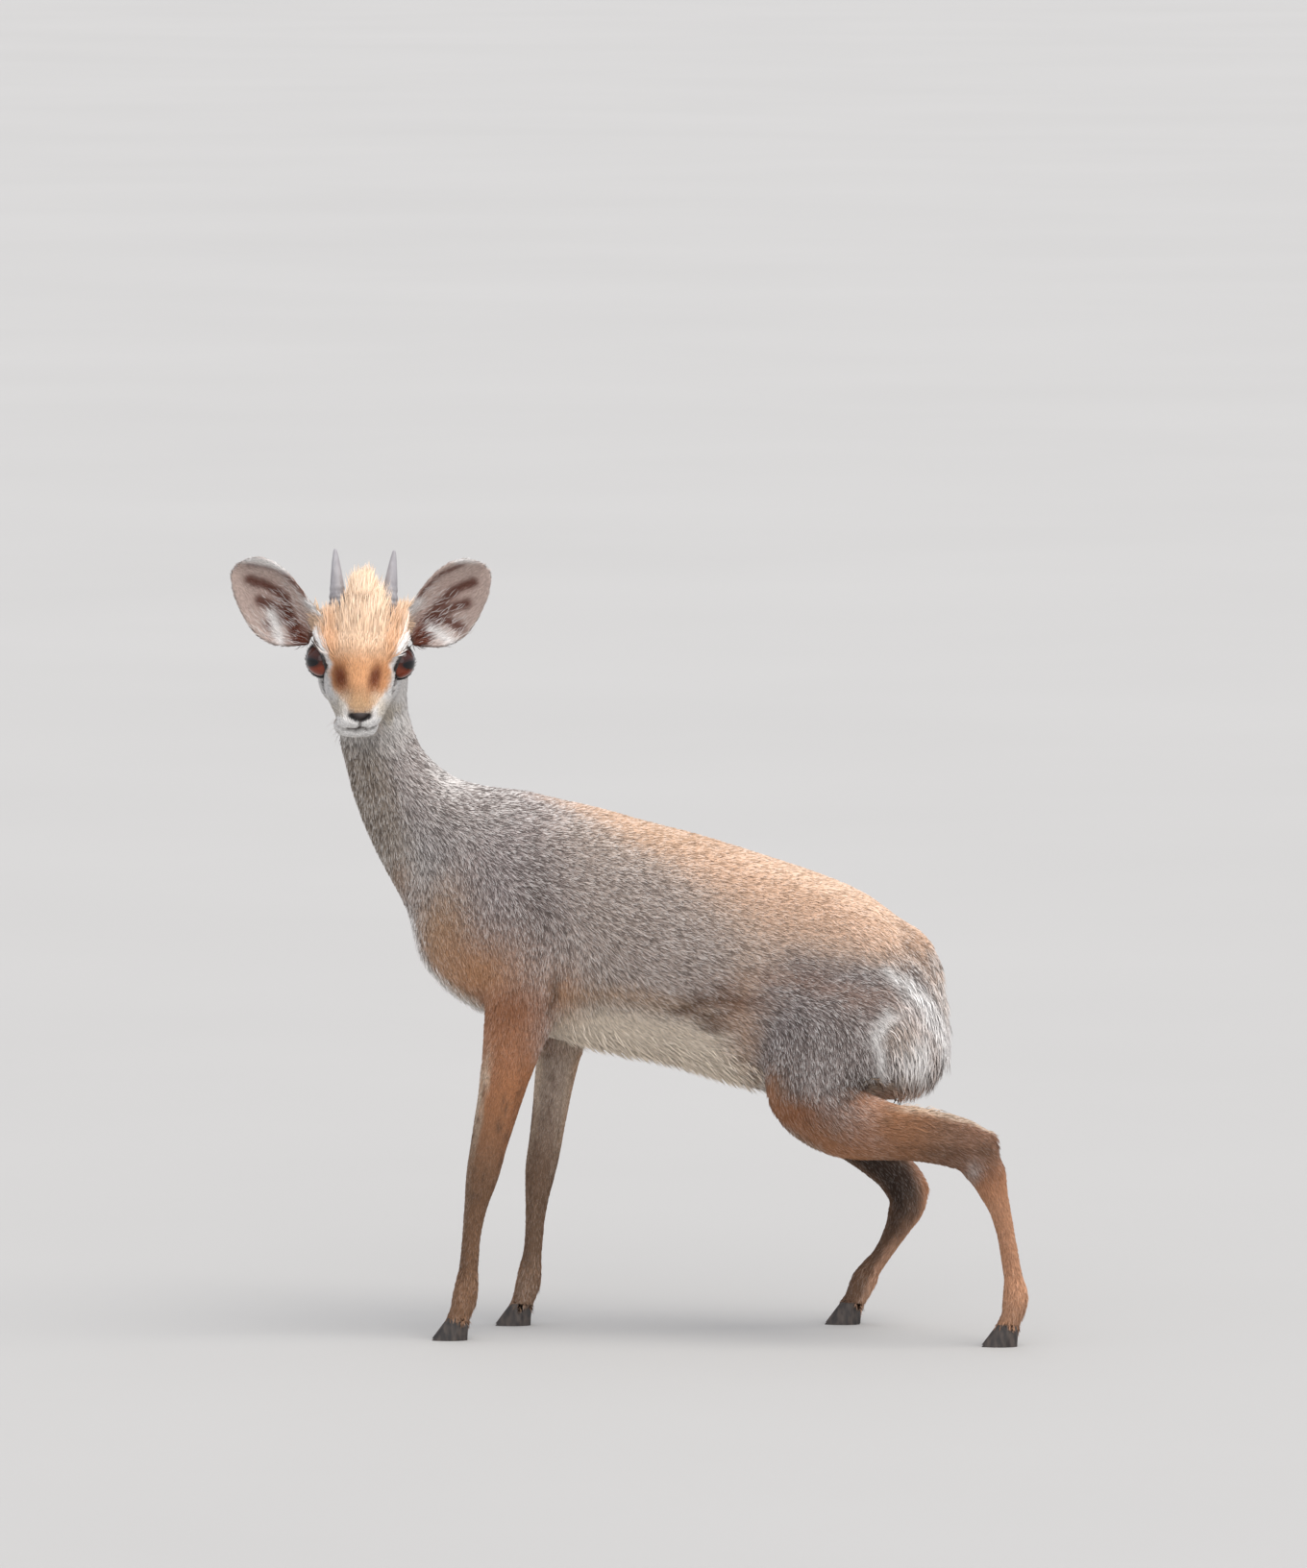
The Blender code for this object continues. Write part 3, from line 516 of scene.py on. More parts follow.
def setLids(points):
    # Sinks the skin behind each eyeball inside the opening, and lays the lids just outside it.
    eyeNear = np.zeros(len(points))
    for word in ("left", "right"):
        centre, distance, way, share, azimuth = aroundEye(points, word)
        inFront = smoothStep(way @ eyeFrame(word)[2], 0.3, 0.8)
        near = 1 - smoothStep(distance, 20 - 4 * inFront, 22.5 - 2 * inFront)
        lidRadius = np.maximum(distance, eyeShape["lid"])
        lidRadius -= (lidRadius - eyeShape["lid"]) * (1 - smoothStep(share, 1.04, 1.45))
        fold = 0.7 * np.exp(-(((share - 1.42) / 0.10) ** 2)) * smoothStep(np.sin(azimuth), -0.2, 0.5)
        openHere = 1 - smoothStep(share, 0.93, 1.03)
        radius = (lidRadius - fold) * (1 - openHere) + eyeShape["recess"] * openHere
        radius = distance + (radius - distance) * near
        points = centre + way * radius[:, None]
        eyeNear = np.maximum(eyeNear, (1 - smoothStep(radius, 13.4, 14.4)) * (1 - smoothStep(share, 1.02, 1.10)))
    return points, eyeNear


def snapped(path, surface, steps=10):
    # A path through its points, filled in and moved onto the nearest points of the skin.
    path = np.asarray(path, float)
    t = np.linspace(0, len(path) - 1, (len(path) - 1) * steps + 1)
    dense = np.stack([np.interp(t, np.arange(len(path)), path[:, k]) for k in range(3)], axis=1)
    nearest = [np.argmin(((surface - p) ** 2).sum(axis=1)) for p in dense]
    return surface[nearest]


def bothSides(path):
    return [np.array(path, float) * (1, hand, 1) for hand in (1, -1)]


def furrow(points, normals, distance, width, depth):
    # A groove (or a ridge, for a negative depth) with a bell-shaped section.
    return points - normals * (depth * np.exp(-((distance / width) ** 2)))[:, None]


faceLines = {  # in the skull's frame, on the left side where there are two
    "hollow": [(24, 14, 11), (34, 13, 6), (42, 11, 3)],
    "nostril": [(60.5, 8.2, -0.2), (62.5, 5.2, -1.8), (64, 1.5, -3.8)],
    "philtrum": [(64.5, 0, -4.5), (65, -0.5, -7.5), (64.5, -1.5, -11)],
    "mouth": [(64.5, 0, -11.5), (63, 6, -11.2), (58, 11, -11.5), (51, 14, -13.5), (43, 15.5, -16)],
    "wing": [(55, 12.5, -2), (60, 10.5, -4.5)],
    "underEye": [(14, 27, -8), (2, 31, -13), (-8, 31, -13)],
}
local = toHead(points)
faceLow = -(0.799 * local[:, 2] - 0.602 * local[:, 0])
aside = 2.6 * smoothStep(faceLow, 36, 47) * smoothStep(local[:, 0], 30, 48) * isHead
points = points - aside[:, None] * skullAxes[1]
chin = 3.4 * smoothStep(local[:, 0], 30, 50) * smoothStep(-local[:, 2], 11, 24) * isHead
points = points + spread(chin, edges, 3)[:, None] * skullAxes[2]
points, lidMargin = setLids(points)
normals = pointNormals(points, triangles)
lineDistance = {}
for name, path in faceLines.items():
    sides = bothSides(path) if path[-1][1] or path[0][1] else [np.array(path, float)]
    found = [nearestOnPath(points, snapped(fromHead(p), points))[0] for p in sides]
    lineDistance[name] = np.min(found, axis=0)
glandSpots = [(23.4, -11), (23.2, -16), (22.2, -21.5)]  # across and up the face, as seen from in front
local = toHead(points)
height = 0.799 * local[:, 2] - 0.602 * local[:, 0]
turnedAway = (normals @ skullAxes.T) @ (0.80, 0, 0.60) < 0.04
hidden = turnedAway | ~isHead | (local[:, 0] < 7)
found = []
for hand in (1, -1):
    missed = [(local[:, 1] + 0.7 - hand * b) ** 2 + (height - h) ** 2 + 1e6 * hidden for b, h in glandSpots]
    line = [points[np.argmin(far)] for far in missed]
    found.append(nearestOnPath(points, line)[0])
lineDistance["gland"] = np.min(found, axis=0)
points = furrow(points, normals, lineDistance["gland"], 2.1, 1.2)
points = furrow(points, normals, lineDistance["hollow"], 5.0, 1.7)
points = furrow(points, normals, lineDistance["wing"], 3.0, -0.9)
points = furrow(points, normals, lineDistance["nostril"], 1.6, 2.6)
points = furrow(points, normals, lineDistance["philtrum"], 0.9, 0.8)
points = furrow(points, normals, lineDistance["mouth"], 1.1, 1.2)
points = furrow(points, normals, lineDistance["underEye"], 4.0, 0.35)

bodyLines = {  # folds of the body, in the drawing's frame, on the left side
    "flankFold": [(30, -50, 224), (45, -54, 232), (58, -56, 238)],
    "groinFold": [(45, -46, 214), (56, -52, 224), (66, -56, 232)],
    "elbow": [(-53, -40, 248), (-53, -42, 236), (-56, -40, 222)],
    "haunch": [(78, -56, 250), (74, -56, 225), (76, -54, 200)],
    "tendon": [(196, -72, 148), (214, -74, 144), (228, -74, 140)],
}


def mirrored(path):
    # The same place on the other side of the trunk's middle plane, which is turned from the X axis.
    turn = math.tan(math.radians(7.0))
    path = np.array(path, float)
    path[:, 1] = -2 * turn * path[:, 0] - path[:, 1]
    return path


normals = pointNormals(points, triangles)
for name, path in bodyLines.items():
    sides = [np.array(path, float)] if name == "tendon" else [np.array(path, float), mirrored(path)]
    found = [nearestOnPath(points, snapped(fromDrawing(p), points))[0] for p in sides]
    lineDistance[name] = np.min(found, axis=0)
points = furrow(points, normals, lineDistance["flankFold"], 3.2, 1.6)
points = furrow(points, normals, lineDistance["groinFold"], 3.2, 1.6)
points = furrow(points, normals, lineDistance["elbow"], 4.0, 2.0)
points = furrow(points, normals, lineDistance["haunch"], 7.0, 1.6)
points = furrow(points, normals, lineDistance["tendon"], 2.5, 0.8)
normals = pointNormals(points, triangles)
softNormals = unit(spread(normals, edges, 3))
print("skin sculpted")

# Markings: every point of the skin has a colour, and the coat over it has the same one


def tone(red, green, blue):
    # A linear colour from the usual values of 0 to 255.
    value = np.array([red, green, blue]) / 255
    return np.where(value <= 0.04045, value / 12.92, ((value + 0.055) / 1.055) ** 2.4)


tones = {
    "side": tone(184, 168, 158),
    "shoulder": tone(172, 160, 157),
    "neck": tone(166, 156, 152),
    "darkGrey": tone(128, 116, 112),
    "peach": tone(222, 184, 156),
    "peachBright": tone(231, 195, 167),
    "sand": tone(206, 182, 165),
    "tan": tone(186, 154, 124),
    "orange": tone(205, 152, 109),
    "rufous": tone(158, 104, 70),
    "cream": tone(234, 218, 198),
    "white": tone(250, 247, 244),
    "greyWhite": tone(214, 208, 204),
    "beige": tone(204, 180, 160),
    "thigh": tone(152, 141, 138),
    "brown": tone(104, 78, 60),
    "dark": tone(58, 45, 38),
    "black": tone(26, 22, 21),
    "leg": tone(184, 126, 87),
    "legLow": tone(126, 97, 75),
    "legPale": tone(222, 200, 176),
    "legGrey": tone(188, 173, 159),
    "hock": tone(142, 108, 90),
    "olive": tone(166, 148, 124),
    "forehead": tone(222, 189, 159),
    "crest": tone(248, 216, 184),
    "noseUpper": tone(222, 166, 120),
    "bridge": tone(171, 120, 84),
    # painted shade, laid in the hollows beside the nose bridge, round the gland and at the base inside the ears
    "hollow": tone(104, 46, 18),
    "nose": tone(186, 156, 124),
    "snout": tone(194, 160, 122),
    "muzzle": tone(200, 190, 176),
    "lip": tone(226, 222, 216),
    "cheek": tone(226, 222, 218),
    "throat": tone(186, 174, 165),
    "nape": tone(196, 170, 150),
    "pad": tone(52, 45, 44),
    "earOut": tone(168, 155, 148),
    "earIn": tone(198, 177, 167),
    "earStripe": tone(96, 46, 30),
    "pink": tone(206, 172, 160),
    "ochre": tone(206, 146, 100),
    "cannon": tone(200, 150, 118),
}
colour = np.tile(tones["side"], (len(points), 1))
drawn = toDrawing(points)
x, y, z = drawn.T
local = toHead(points)
ahead, across, upward = local.T
across = np.abs(across)
faceHeight = 0.799 * upward - 0.602 * ahead  # height up the face, as seen from in front
faceNormal = normals @ skullAxes.T
frontal = smoothStep(0.80 * faceNormal[:, 0] + 0.60 * faceNormal[:, 2], -0.1, 0.45)


def paint(name, amount):
    # Lays a tone over the colours, as thickly as amount says at each point.
    colour[:] = colour + (tones[name] - colour) * np.clip(amount, 0, 1)[:, None]


def patch(centreX, centreZ, radiusX, radiusZ, sharp=1.0):
    # A soft oval on both sides of the body: a bell in the drawing's side view.
    square = ((x - centreX) / radiusX) ** 2 + ((z - centreZ) / radiusZ) ** 2
    return np.exp(-(square**sharp))


def patchOf(value, width):
    # A bell about zero.
    return np.exp(-((value / width) ** 2))


def softPart(*starts, rounds=5):
    return spread(onParts(*starts).astype(float), edges, rounds)


def band(value, low, high, soft):
    # One between low and high, falling to zero over a soft width at both ends.
    return smoothStep(value, low - soft, low + soft) * (1 - smoothStep(value, high - soft, high + soft))


backLine = np.array([
    (-153, 437), (-143, 397), (-123.5, 379), (-117, 375), (-104, 372.6), (-78, 370), (-52, 365), (-26, 359), (52, 337),
    (91, 322), (130, 311), (156, 299.5), (188.5, 282.5), (205, 261),
])
bandDepth = np.array([(-110, 3), (-60, 6), (26, 22), (58, 38), (91, 52), (130, 48), (156, 38), (185, 25)])
bellyLine = np.array([(-60, 224), (-52, 228), (-13, 229), (26, 221), (58, 211), (71, 203)])
mottle = wobble(points, 17, 3)
below = np.interp(x, *backLine.T) - z + 3 * mottle
wide = np.interp(x, *bandDepth.T)
onTrunk = softPart("trunk", "hindleg_left_thigh", "hindleg_right_thigh", rounds=8)
paint("shoulder", (1 - smoothStep(x, -90, -20)))
paint("sand", onTrunk * (1 - smoothStep(below, 0.6 * wide, 2.3 * wide)) * smoothStep(x, -60, 40))
paint("peach", onTrunk * (1 - smoothStep(below, 0.25 * wide, 1.4 * wide)) * smoothStep(x, -130, 10))
paint("peachBright", onTrunk * (1 - smoothStep(below, 2, 16)) * smoothStep(x, 30, 120) * 0.9)
paint("tan", onTrunk * patch(22, 345, 48, 16) * 0.35)
bellyDrop = z - np.interp(x, *bellyLine.T) + 2.5 * mottle
isMiddle = band(x, -54, 78, 6)
paint("tan", onTrunk * isMiddle * band(bellyDrop, 2, 15, 7) * 0.65)
paint("cream", onTrunk * isMiddle * (1 - smoothStep(bellyDrop, -9, 9)))
paint("darkGrey", onTrunk * patch(-68, 295, 15, 40) * 0.8)
# painted shade in a fold of the neck
paint("darkGrey", patch(-136, 349, 15, 22) * 0.55 * (1 - isHead))
paint("tan", (1 - isHead) * patch(-132, 282, 20, 36) * 0.85)
paint("tan", (1 - isHead) * patch(-163, 325, 12, 20) * 0.6)
paint("orange", patch(-106, 250, 34, 28) * 0.9 * (1 - isHead))
paint("orange", patch(-130, 272, 13, 27) * 0.3 * (1 - isHead))
paint("orange", patch(-48, 240, 12, 16) * 0.55 * (1 - isHead))
paint("leg", patch(-88, 203, 31, 38, 1.5) * 0.9)
paint("rufous", patch(-81, 229, 27, 13) * 0.75)
onThigh = softPart("hindleg_left_thigh", "hindleg_right_thigh", rounds=8)
haunch = np.maximum(onThigh, smoothStep(x, 84, 110) * onTrunk) * smoothStep(below, wide * 0.8, wide * 1.35)
paint("thigh", haunch * 0.9)
paint("darkGrey", haunch * patch(122, 211, 42, 30) * 0.5)
paint("beige", patch(73, 230, 9, 42) * 0.8 * onTrunk)
paint("greyWhite", smoothStep(x, 150, 195) * band(z, 215, 262, 14) * 0.5 * onTrunk)
# the white lines are pale hair; the brown line is painted shade in the crease beside the tail
rumpLines = {
    "white": [[(170, -60, 253), (186, -58, 244), (199, -52, 232)], [(158, -62, 208), (170, -62, 226), (184, -60, 228)],
              [(164, -62, 203), (165, -62, 188), (166, -62, 174)]],
    "brown": [[(181, -36, 270), (194, -34, 258), (206, -30, 240)]],
}
paint("white", patch(193, 203, 19, 34, 1.6) * 0.95 * (1 - smoothStep(z, 236, 254)))
# painted shade in the hollow between the thigh and the buttock
paint("beige", patch(177, 214, 11, 12) * 0.85)
paint("thigh", patch(177, 216, 8, 8) * 0.45)
for name, lines in rumpLines.items():
    for line in lines:
        for path in (np.array(line, float), mirrored(line)):
            reach = nearestOnPath(points, snapped(fromDrawing(path), points))[0]
            paint(name, np.exp(-((reach / 4.0) ** 2)) * 0.8 * onTrunk)
# painted shade in the crease behind the near knee, between thigh and shank
paint("dark", patch(151, 176, 15, 12, 1.6) * 0.85 * (y < 0))
# painted shade in the flank, groin and elbow folds, which are also sunk as furrows
for name, width in (("flankFold", 2.2), ("groinFold", 2.2), ("elbow", 3.0)):
    paint("brown", np.exp(-((lineDistance[name] / width) ** 2)) * 0.75)
paint("cream", smoothStep(-normals[:, 2], 0.45, 0.85) * onTrunk * 0.85)
inwards = smoothStep(np.abs(y + math.tan(math.radians(7)) * x), 26, 12)
paint("greyWhite", onThigh * inwards * 0.8)

# Neck: grey, whiter behind, where painted rim light lies over pale hair, and browner in front

_, upNeck, fromNeck = nearestOnPath(points, fromDrawing(neckPath))
onNeck = softPart("neck", rounds=6)
paint("neck", onNeck * 0.9)
paint("olive", onNeck * smoothStep(-fromNeck[:, 0], 8, 24) * 0.5)
# pale hair along the back of the neck, brightened by painted rim light
rear = smoothStep(fromNeck[:, 0] + 2 * mottle, 3, 20) * (1 - 0.5 * smoothStep(fromNeck[:, 0], 20, 28))
paint("greyWhite", onNeck * rear * band(z, 372, 452, 14) * 0.95)
paint("orange", patch(-157, 314, 8, 12) * 0.45 * (1 - isHead))
paint("throat", onNeck * band(z, 405, 460, 12) * 0.5)
paint("cheek", onNeck * rear * band(z, 372, 440, 14) * 0.35)
chestLine = nearestOnPath(points, snapped(fromDrawing([(-152, 4, 284), (-143, 3, 258), (-126, 2, 236), (-106, 0, 220)]), points))[0]
paint("white", np.exp(-((chestLine / 8) ** 2)) * 0.9)
paint("cheek", onNeck * smoothStep(upward, -70, -42) * 0.85)
paint("greyWhite", patch(-146, 322, 17, 26) * 0.45 * (1 - isHead))

# Legs: brown with a pale front edge, and their own marks lower down

limbAlong = np.zeros(len(points))
for name, path in limbPaths.items():
    onLimb = softPart(name, rounds=4) * (1 - softPart(name + "_thigh", rounds=4))
    reach, along, offset = nearestOnPath(points, fromDrawing(path))
    front = -offset[:, 0] / np.maximum(reach, 2)
    outside = offset[:, 1] * (-1 if name.endswith("left") else 1) / np.maximum(reach, 2)
    limbAlong = np.where(onLimb > 0.5, along, limbAlong)
    streak = 0.25 * wobble(points * (1, 1, 0.4), 9, 5)
    paint("leg", onLimb)
    paint("legGrey", onLimb * smoothStep(-outside, 0.1, 0.8) * 0.85)
    if name.startswith("fore"):
        paint("legPale", onLimb * smoothStep(front + streak, 0.5, 0.9) * band(along, 0.0, 0.75, 0.1) * 0.85)
        paint("legLow", onLimb * smoothStep(along + 0.05 * streak, 0.38, 0.66) * 0.9)
        paint("brown", onLimb * smoothStep(wobble(points, 14, 6), 0.1, 0.5) * band(along, 0.38, 0.72, 0.06) * 0.8)
        hind = onLimb * smoothStep(-front + streak, 0.4, 0.9) * (1 - smoothStep(along, 0.5, 0.7))
        paint("rufous" if name.endswith("left") else "legPale", hind * 0.45)
        paint("brown", onLimb * band(along, 0.80, 0.86, 0.02) * smoothStep(front, 0, 0.7) * 0.45)
    else:
        paint("legPale", onLimb * smoothStep(front + streak, 0.5, 0.95) * band(along, 0.22, 0.62, 0.08) * 0.9)
        paint("hock", onLimb * band(along, 0.50, 0.66, 0.05) * 0.85)
        paint("brown", onLimb * smoothStep(wobble(points * (0.45, 1, 1), 8, 41), 0.0, 0.5) * band(along, 0.3, 0.56, 0.05) * 0.5)
        paint("rufous", onLimb * smoothStep(-front + streak, 0.2, 0.9) * band(along, 0.3, 0.5, 0.1) * 0.6)
        paint("legLow", onLimb * band(along, 0.25, 0.56, 0.06) * 0.5)
        paint("cannon", onLimb * smoothStep(along, 0.64, 0.72) * 0.8)
        paint("legLow", onLimb * smoothStep(along, 0.86, 0.95) * 0.5)
    # painted shade: the far hind leg is browner all over and darker on its inner side
    if name == "hindleg_right":
        paint("brown", onLimb * smoothStep(front + streak, -0.6, 0.3) * 0.95)
        paint("dark", onLimb * smoothStep(-outside, 0.2, 0.8) * band(along, 0.2, 0.75, 0.1) * 0.85)
nearSide = (y < 0) * (1 - isHead)
kneeFade = 1 - smoothStep(x + 0.6 * (170 - z) + 6 * mottle, 120, 182)
paint("thigh", softPart("hindleg_left_shank", rounds=8) * kneeFade * 0.85)
# painted highlight on the upward-facing top of the near shank
paint("legPale", onParts("hindleg_left_shank") * smoothStep(normals[:, 2], 0.55, 0.9) * smoothStep(x, 168, 186) * 0.55)
paint("brown", patch(234, 134, 9, 8) * 0.7 * nearSide)
paint("brown", patch(208, 133, 16, 5) * 0.4 * nearSide)
paint("greyWhite", patch(227, 121, 5, 6) * 0.4 * nearSide)
hamLine = nearestOnPath(points, snapped(fromDrawing([(82, -62, 176), (115, -62, 156), (148, -62, 133)]), points))[0]
paint("legLow", np.exp(-(((hamLine + 3 * mottle) / 19) ** 2)) * 0.85 * nearSide)
paint("leg", np.exp(-(((hamLine + 2 * mottle) / 10) ** 2)) * 0.6 * nearSide)
paint("rufous", patch(108, 161, 22, 10) * 0.75 * nearSide)
paint("leg", onThigh * nearSide * (1 - kneeFade) * (1 - smoothStep(z, 166, 184)) * 0.85)

# Tail: orange-brown, with painted shade along the creases against the rump and a pale outer edge

onTail = softPart("tail", rounds=2)
_, _, fromTail = nearestOnPath(points, fromDrawing(tailPath))
paint("peach", onTail)
# painted shade along the tail's side that lies against the rump
paint("brown", onTail * band(fromTail[:, 0] + 0.3 * fromTail[:, 1], -4.5, -0.5, 1.5) * 0.4)
paint("white", onTail * (1 - smoothStep(z, 240, 258)) * 0.8)
# painted shade in the creases between the tail and the rump, on both sides
for path in ([(176, -40, 270), (193, -38, 256), (207, -32, 238)], [(168, -46, 262), (184, -44, 250), (198, -42, 238)]):
    for line in (np.array(path, float), mirrored(path)):
        reach = nearestOnPath(points, snapped(fromDrawing(line), points))[0]
        paint("brown", np.exp(-((reach / 3.6) ** 2)) * 0.55 * (1 - isHead))
paint("brown", onTail * band(z, 250, 264, 5) * 0.45)
# painted shade under the lower rear edge of the buttock
paint("dark", patch(211, 178, 11, 9, 1.6) * 0.85)
paint("greyWhite", patch(202, 260, 7, 8) * 0.55 * (1 - isHead))

# Head: orange crown and bridge, painted shade in the hollows beside the bridge, grey cheeks and a pale muzzle

onHead = spread(isHead.astype(float), edges, 3)
blur = 1.6 * wobble(points, 8, 11)
face = faceHeight + blur
paint("cheek", onHead)
paint("throat", onHead * smoothStep(-faceNormal[:, 2], 0.35, 0.9) * smoothStep(-ahead, -30, 10) * 0.8)
paint("nape", onHead * smoothStep(-ahead, 14, 40) * smoothStep(upward + 0.25 * across, -14, 14))
paint("muzzle", onHead * (1 - smoothStep(face, -34, -22)) * smoothStep(across + blur, 9, 14))
maskHalf = np.interp(faceHeight, [-38, -31, -25, -18, -6, 4, 12, 20, 30], [4, 8, 13, 17.5, 20, 23, 30, 34, 38])
onMask = (1 - smoothStep(across + 0.8 * blur - maskHalf, -2.0, 2.5)) * band(face, -34, 90, 3)
onMask = np.maximum(onMask, smoothStep(upward, 10, 20) * smoothStep(face, 4, 14)) * smoothStep(ahead, -48, -28)
onMask = onMask * smoothStep(upward + 0.3 * across, -8, 6 - 0.3 * np.minimum(ahead, 0))
onMask = np.where(ahead > 0, np.maximum(onMask, 1 - smoothStep(across + 0.8 * blur - maskHalf, -3.0, 3.0)), onMask)
onMask = onMask * (1 - smoothStep(-faceNormal[:, 2], 0.2, 0.6)) * smoothStep(face, -37, -31) * smoothStep(upward, -14, -9)
paint("neck", onHead * smoothStep(-ahead, 30, 46) * (1 - smoothStep(upward, -20, 6)) * 0.8)
paint("forehead", onHead * onMask)
paint("noseUpper", onHead * onMask * (1 - smoothStep(face, -8, 14)))
paint("ochre", onHead * onMask * smoothStep(across, 6, 11) * band(face, -24, -2, 5) * 0.85 * smoothStep(ahead, -10, 6))
paint("bridge", onHead * onMask * (1 - smoothStep(face, -24, -14)) * 0.7)
paint("snout", onHead * onMask * (1 - smoothStep(face + 0.25 * across, -30, -13)) * 0.8)
besideNose = np.abs(local[:, 1] + 1.9)
hollowNear = ((besideNose - 11.2) / 5.0) ** 2 + ((faceHeight + 13 - 0.5 * (besideNose - 11)) / 8.5) ** 2
paint("cream", onHead * band(face, -33, -22, 4) * band(across, 8, 15, 4) * frontal * 0.4)
# painted shade in the hollows on both sides of the nose bridge
paint("hollow", onHead * np.exp(-(hollowNear**1.6)) * 0.95 * smoothStep(ahead, 0, 12))
paint("crest", onHead * smoothStep(face, 17, 34) * (1 - smoothStep(across, 12, 22)) * 0.45)
paint("ochre", onHead * band(across, 16, 28, 4) * band(face, 2, 20, 6) * 0.55 * smoothStep(ahead, -20, -10) * frontal)
paint("nose", onHead * (1 - smoothStep(across, 6.0, 10)) * band(face, -37, -31, 2.5) * 0.6)
paint("white", onHead * (1 - smoothStep(faceHeight, -40, -37.5)) * smoothStep(ahead, 46, 56) * 0.8)
for word in ("left", "right"):
    _, distance, _, share, azimuth = aroundEye(points, word)
    near = smoothStep(-distance, -20, -16) * onHead
    inner = smoothStep(30 - across, 0, 7)
    paint("white", near * band(share + 0.02 * blur, 1.06, 1.26 + 0.06 * inner, 0.06) * 0.95)
    near = (1 - smoothStep(distance, 13.4, 14.6)) * onHead
    paint("dark", near * band(share, 0.0, 1.10, 0.04))
    paint("brown", near * band(share, 1.04, 1.16, 0.05) * smoothStep(np.sin(azimuth), 0.0, 0.8) * 0.7)
# painted shade in the groove round the gland; the gland itself is painted black below
paint("hollow", onHead * np.exp(-((lineDistance["gland"] / 3.0) ** 2)) * 0.5)
paint("black", np.exp(-((lineDistance["gland"] / 3.3) ** 6)))
padHalf = np.interp(faceHeight, [-43, -41, -39, -37, -35.5, -34.8], [0.7, 1.6, 3.6, 6.8, 7.2, 5.5])
middlePad = (1 - smoothStep(across - padHalf, -0.7, 0.9)) * band(faceHeight, -42.5, -35.2, 0.6) * frontal * onHead
padHere = np.exp(-((lineDistance["nostril"] / 2.0) ** 4))
paint("pad", np.maximum(padHere, middlePad))
# painted shade inside the sunken nostrils, darker than the pad round them
paint("black", np.exp(-((lineDistance["nostril"] / 1.2) ** 4)))
paint("dark", np.exp(-((lineDistance["philtrum"] / 0.8) ** 2)) * 0.8)
paint("dark", np.exp(-((lineDistance["mouth"] / 1.1) ** 2)) * (0.9 - 0.6 * smoothStep(across, 8, 12)))

# Ears: grey outside, and pale inside with dark stripes and painted shade at the base and under the crown rim, in
# millimetres along the ear and towards its crown edge

earMarks = {
    "right": {
        "stripes": [
            [(56, -0.5), (45, 3), (30, 4), (20, -3), (12, -7), (3, -11)], [(42, -8), (32, -6), (24, -5)],
            [(27, -17), (23, -11)], [(20, -6), (12, -10), (2, -14)],
        ],
        "rim": [[(64, 8), (54, 13.5), (41, 17.5), (26, 16), (12, 11)]],
        "white": [[(68, 10.6), (55, 17), (41, 21)], [(5.4, 10.3), (16, 12)], [(30, -11), (16, -20)]],
    },
    "left": {
        "stripes": [
            [(56, -1.5), (43, 1), (28, -1), (14, -5), (3, -9)], [(44, -11), (30, -7)], [(23, -8), (8, -11)],
            [(25, -11), (31, -22)], [(20, -8), (3, -13)],
        ],
        "rim": [[(58, 13.5), (40, 17), (26, 14.5), (12, 9.5)]],
        "white": [[(58, 19), (67, 13), (75, 6.6)], [(9, 8.2), (18, 10)], [(13, -9.6), (21, -26)]],
    },
}
earInside = np.zeros(len(points))
for word, marks in earMarks.items():
    onEar = softPart("ear_" + word, rounds=1)
    s, w, _ = inEar(points, word)
    facing = normals @ (earFrames[word]["facing"] @ skullAxes)
    inside = smoothStep(facing, -0.05, 0.3)
    earInside = np.maximum(earInside, onEar * inside)
    paint("earOut", onEar)
    paint("earIn", onEar * inside)
    paint("pink", onEar * inside * band(s, 8, 46, 10) * (1 - smoothStep(np.abs(w), 4, 16)) * 0.35)
    # painted shade in the cupped base of the ear's inside
    paint("hollow", onEar * inside * patchOf(s - 4, 9) * patchOf(w + 10, 9) * 0.9)
    paint("forehead", onEar * patchOf(s, 12) * smoothStep(w, 2, 9) * 0.9)
    bent = wobble(points, 11, 21)
    flat = np.stack([s + 0.8 * bent, w + 0.7 * wobble(points, 8, 22), 0 * s], axis=1)
    for line in marks["stripes"]:
        reach = nearestOnPath(flat, [(*p, 0) for p in line])[0]
        paint("earStripe", onEar * inside * np.exp(-((reach / (4.0 + 0.6 * bent)) ** 3)) * 0.9)
    # painted shadow under the crown rim, just inside its white edge, laid in the stripes' tone
    for line in marks["rim"]:
        reach = nearestOnPath(flat, [(*p, 0) for p in line])[0]
        paint("earStripe", onEar * inside * np.exp(-((reach / 2.0) ** 2)) * 0.8)
    for line in marks["white"]:
        reach = nearestOnPath(flat, [(*p, 0) for p in line])[0]
        paint("white", onEar * np.exp(-((reach / 3.5) ** 2)) * 0.9 * smoothStep(facing, -0.25, 0.15))

